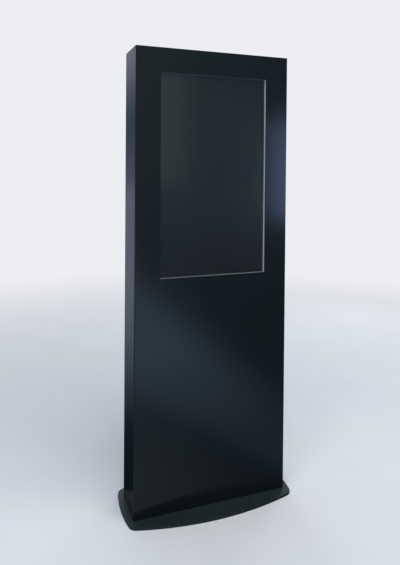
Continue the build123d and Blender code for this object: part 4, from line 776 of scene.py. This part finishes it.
def lathe(bm, origin, axis, profile, segments=28):
    """Closed section turned about an axis; its points are (along the axis, radius)."""
    axis = Vector(axis)
    side = axis.orthogonal().normalized()
    other = axis.cross(side)
    rings = []
    for along, radius in profile:
        centre = Vector(origin) + axis * along
        ring = []
        for k in range(segments):
            angle = 2 * math.pi * k / segments
            ring.append(bm.verts.new(centre + radius * (math.cos(angle) * side + math.sin(angle) * other)))
        rings.append(ring)
    for first, second in zip(rings, rings[1:] + rings[:1]):
        for k in range(segments):
            n = (k + 1) % segments
            bm.faces.new((first[k], first[n], second[n], second[k]))


def loft(bm, origin, axes, sections, steps=5):
    """Closed body through rounded rectangles: (along, half width, half depth, corner radius)."""
    across, over, along = (Vector(a) for a in axes)
    rings = []
    for height, half_a, half_b, radius in sections:
        ring = []
        for quarter in range(4):
            sign_a = (1, -1, -1, 1)[quarter]
            sign_b = (1, 1, -1, -1)[quarter]
            for k in range(steps):
                angle = math.pi / 2 * (quarter + k / (steps - 1))
                a = sign_a * (half_a - radius) + radius * math.cos(angle)
                b = sign_b * (half_b - radius) + radius * math.sin(angle)
                ring.append(bm.verts.new(Vector(origin) + across * a + over * b + along * height))
        rings.append(ring)
    count = len(rings[0])
    for first, second in zip(rings, rings[1:]):
        for k in range(count):
            n = (k + 1) % count
            bm.faces.new((first[k], first[n], second[n], second[k]))
    bm.faces.new(list(reversed(rings[0])))
    bm.faces.new(rings[-1])


# ---------------------------------------------------------------- pieces


def pleat_line(low, high):
    """Line of the folded media seen from above: a zigzag with rounded folds."""
    width = high[0] - low[0] - 2 * MEDIA_SIDE_GAP
    swing = (high[1] - low[1] - MEDIA_WALL) / 2 - MEDIA_FACE_GAP
    middle = (low[1] + high[1]) / 2
    count = MEDIA_PLEATS * MEDIA_STEPS
    line = []
    for i in range(count + 1):
        phase = 2 * math.pi * i / MEDIA_STEPS
        x = low[0] + MEDIA_SIDE_GAP + width * i / count
        y = middle + swing * math.asin(MEDIA_POINT * math.sin(phase)) / math.asin(MEDIA_POINT)
        line.append((x, y))
    return line


def add_filter(materials):
    """Pleated dust filter in the door's frame, standing for the plain pad."""
    low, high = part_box("filter_pad")
    height = high[2] - low[2]
    line = pleat_line(low, high)
    bm = bmesh.new()
    faces = ([], [])
    for i, (x, y) in enumerate(line):
        before, after = line[max(i - 1, 0)], line[min(i + 1, len(line) - 1)]
        along = Vector((after[0] - before[0], after[1] - before[1], 0)).normalized()
        out = Vector((-along.y, along.x, 0)) * (MEDIA_WALL / 2)
        for side, columns in zip((1, -1), faces):
            column = []
            for j in range(MEDIA_ROWS + 1):
                wave = math.sin(MEDIA_WAVE[0] * i / MEDIA_STEPS + MEDIA_WAVE[1] * j / MEDIA_ROWS)
                lean = MEDIA_LEAN * wave * math.sin(math.pi * i / len(line))
                z = low[2] + MEDIA_END_GAP + (height - 2 * MEDIA_END_GAP) * j / MEDIA_ROWS
                column.append(bm.verts.new((x + side * out.x + lean, y + side * out.y, z)))
            columns.append(column)
    front, back = faces
    for i in range(len(line) - 1):
        for j in range(MEDIA_ROWS):
            bm.faces.new((front[i][j], front[i + 1][j], front[i + 1][j + 1], front[i][j + 1]))
            bm.faces.new((back[i][j], back[i][j + 1], back[i + 1][j + 1], back[i + 1][j]))
        bm.faces.new((front[i][0], back[i][0], back[i + 1][0], front[i + 1][0]))
        bm.faces.new((front[i][-1], front[i + 1][-1], back[i + 1][-1], back[i][-1]))
    for j in range(MEDIA_ROWS):
        bm.faces.new((front[0][j], front[0][j + 1], back[0][j + 1], back[0][j]))
        bm.faces.new((front[-1][j], back[-1][j], back[-1][j + 1], front[-1][j + 1]))
    media = finish_mesh(bm, "filter_media", materials["filter_fabric"], sharp=60)
    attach(media, "door")
    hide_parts("filter_pad")


def add_door_seal(materials):
    """Foam-rubber strip with two round ribs, all round the door stops."""
    low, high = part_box("door_seal")
    rise = high[1] - low[1] - SEAL_BASE
    section = [(SEAL_WIDTH, low[1]), (0.0, low[1])]
    for k in range(SEAL_SAMPLES + 1):
        inward = SEAL_WIDTH * k / SEAL_SAMPLES
        bulge = max(max(0.0, 1 - ((inward - rib) / SEAL_RIB_REACH) ** 2) for rib in SEAL_RIBS)
        section.append((inward, low[1] + SEAL_BASE + rise * math.sqrt(bulge)))
    bm = bmesh.new()
    ring_loop(bm, section, high[0], (high[2] - low[2]) / 2, (high[2] + low[2]) / 2)
    seal = finish_mesh(bm, "door_seal_strip", materials["seal_rubber"], sharp=50)
    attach(seal, "cabinet")
    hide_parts("door_seal")


def add_gasket(materials):
    """Foam tape between the trim and the glass, its edges bulging as it is squeezed."""
    low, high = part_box("glass_gasket")
    thickness = high[1] - low[1]
    section = []
    for k in range(TAPE_STEPS + 1):
        angle = math.pi * k / TAPE_STEPS
        inward = TAPE_BULGE * (1 - math.sin(angle))
        section.append((inward, low[1] + thickness * (1 + math.cos(angle)) / 2))
    for k in range(TAPE_STEPS + 1):
        angle = math.pi * k / TAPE_STEPS
        inward = TAPE_WIDTH - TAPE_BULGE * (1 - math.sin(angle))
        section.append((inward, low[1] + thickness * (1 - math.cos(angle)) / 2))
    bm = bmesh.new()
    ring_loop(bm, section, high[0], (high[2] - low[2]) / 2, (high[2] + low[2]) / 2)
    tape = finish_mesh(bm, "gasket_tape", materials["seal_rubber"], sharp=50)
    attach(tape, "cabinet")
    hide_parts("glass_gasket")


def sleeve(bm, place, axis, length, bore, thick):
    """Tapered strain relief with ribs round a lead."""
    outline = [(0.0, bore), (0.0, bore + thick)]
    for k in range(RELIEF_RIBS):
        start = length * (RELIEF_START + RELIEF_SPAN * k / RELIEF_RIBS)
        end = length * (RELIEF_START + RELIEF_SPAN * (k + RIB_SHARE) / RELIEF_RIBS)
        radius = bore + thick * (1 - RELIEF_TAPER * (k + 1) / RELIEF_RIBS)
        outline += [(start, radius - RIB_DEPTH), (start + RIB_EDGE, radius)]
        outline += [(end, radius), (end + RIB_EDGE, radius - RIB_DEPTH)]
    outline += [(length, bore + RELIEF_TIP * thick), (length, bore)]
    lathe(bm, place, axis, outline)


def add_plugs(materials):
    """Plugs with finger grips and ribbed strain reliefs, standing for the plain blocks."""
    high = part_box("cable_plugs")[1]
    strip_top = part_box("socket_strip")[1][2]
    player_low, player_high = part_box("player_case")
    bm = bmesh.new()
    length = high[2] - strip_top
    half = high[0] - STRIP_PLUGS[-1][0]
    for x, bore in STRIP_PLUGS:
        sections = []
        for share, size in PLUG_GRIPS:
            sections.append((length * share, half * size, half * size, STRIP_PLUG_RADIUS))
        loft(bm, (x, 0, strip_top), ((1, 0, 0), (0, 1, 0), (0, 0, 1)), sections)
        relief_length, thick = STRIP_RELIEF
        sleeve(bm, (x, 0, high[2] - RELIEF_SUNK), (0, 0, 1), relief_length, bore, thick)
    half_y, half_z = PLAYER_PLUG_HALF
    z = player_low[2] + PLAYER_PLUG_RISE
    for y in PLAYER_PLUG_Y:
        sections = []
        for share, size in PLUG_GRIPS:
            sections.append((length * share, half_y * size, half_z * size, PLAYER_PLUG_RADIUS))
        loft(bm, (player_high[0], y, z), ((0, 1, 0), (0, 0, 1), (1, 0, 0)), sections)
        relief_length, thick = PLAYER_RELIEF
        place = (player_high[0] + length - RELIEF_SUNK, y, z)
        sleeve(bm, place, (1, 0, 0), relief_length, PLAYER_PLUG_BORE, thick)
    plugs = finish_mesh(bm, "plug_bodies", materials["cable_pvc"], sharp=35)
    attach(plugs, "cabinet")
    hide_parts("cable_plugs")


def finish_cabinet_pieces(meshes, materials):
    """Makes pieces that stay on the cabinet, each given as (mesh, name, slot)."""
    for bm, name, slot_name in meshes:
        piece = finish_mesh(bm, name, materials[slot_name], sharp=40)
        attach(piece, "cabinet")


def add_outlets(materials):
    """Collars and pin holes in the two free outlets of the socket strip."""
    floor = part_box("socket_strip")[1][2] - OUTLET_DEPTH
    collars = bmesh.new()
    holes = bmesh.new()
    for x in OUTLET_X:
        lathe(collars, (x, 0, floor), (0, 0, 1), OUTLET_COLLAR)
        for shift in OUTLET_PIN_SHIFTS:
            place = (x + shift, 0, floor)
            lathe(collars, place, (0, 0, 1), OUTLET_RIM, segments=18)
            loft(holes, place, ((1, 0, 0), (0, 1, 0), (0, 0, 1)), OUTLET_HOLE)
    finish_cabinet_pieces([
        (collars, "outlet_collars", "socket_plastic"),
        (holes, "outlet_holes", "black_plastic"),
    ], materials)


def add_ports(materials):
    """Connector shells with their tongues, a power jack and a lamp on the player's back."""
    low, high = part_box("player_case")
    face = high[1]
    centre_z = low[2] + PORT_RISE
    shells = bmesh.new()
    tongues = bmesh.new()
    axes = ((1, 0, 0), (0, 0, 1), (0, 1, 0))
    out = (0, 1, 0)
    wall, skin = PORT_WALL, PORT_SKIN
    for along, half_x, half_z, tongue in PORTS:
        x = low[0] + along
        section = [(0.0, face), (0.0, face + PORT_PROUD), (wall, face + PORT_PROUD), (wall, face)]
        ring_loop(shells, section, half_x, half_z, centre_z, centre_x=x)
        back = [(height, half_x - wall, half_z - wall, skin) for height in (0.0, skin)]
        loft(tongues, (x, face, centre_z), axes, back)
        width = half_x - TONGUE_SIDE_GAP
        tip = [(height, width, tongue, skin) for height in (skin, 0.0010)]
        tip.append((0.0012, width - 0.0003, tongue - 0.0003, 0.0002))
        loft(tongues, (x, face, centre_z + TONGUE_LIFT), axes, tip)
    jack = (low[0] + JACK_ALONG, face, centre_z)
    lathe(shells, jack, out, JACK_SLEEVE)
    loft(tongues, jack, axes, JACK_WELL)
    lathe(shells, jack, out, JACK_PIN, segments=14)
    lamp = (low[0] + LAMP_ALONG, face, centre_z)
    lathe(shells, lamp, out, LAMP_RING, segments=20)
    loft(tongues, lamp, axes, LAMP_LENS)
    finish_cabinet_pieces([
        (shells, "player_port_shells", "guard_steel"),
        (tongues, "player_port_tongues", "black_plastic"),
    ], materials)


def add_grommet(materials):
    """Rubber lip round the cable entry in the foot plate."""
    low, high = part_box("base_plate")
    top = high[2]
    outline = [
        (0.0008, ENTRY_BORE + 0.0010),
        (0.0014, ENTRY_EDGE),
        (top, ENTRY_EDGE),
        (top, ENTRY_LIP),
        (top + 0.0012, ENTRY_LIP),
        (top + 0.0024, ENTRY_LIP - 0.0016),
        (top + 0.0026, ENTRY_BORE + 0.0022),
        (top + 0.0016, ENTRY_BORE),
        (0.0018, ENTRY_BORE),
    ]
    bm = bmesh.new()
    lathe(bm, (*ENTRY_PLACE, low[2]), (0, 0, 1), outline, segments=64)
    lip_piece = finish_mesh(bm, "cable_entry_grommet", materials["seal_rubber"], sharp=50)
    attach(lip_piece, "cabinet")


def main():
    """Builds the look of the whole kiosk."""
    bpy.context.scene.view_settings.view_transform = "Standard"
    add_camera()
    add_world()
    add_lights()
    add_floor()
    materials = make_materials()
    dress_nodes(materials)
    add_filter(materials)
    add_door_seal(materials)
    add_gasket(materials)
    add_plugs(materials)
    add_outlets(materials)
    add_ports(materials)
    add_grommet(materials)


main()
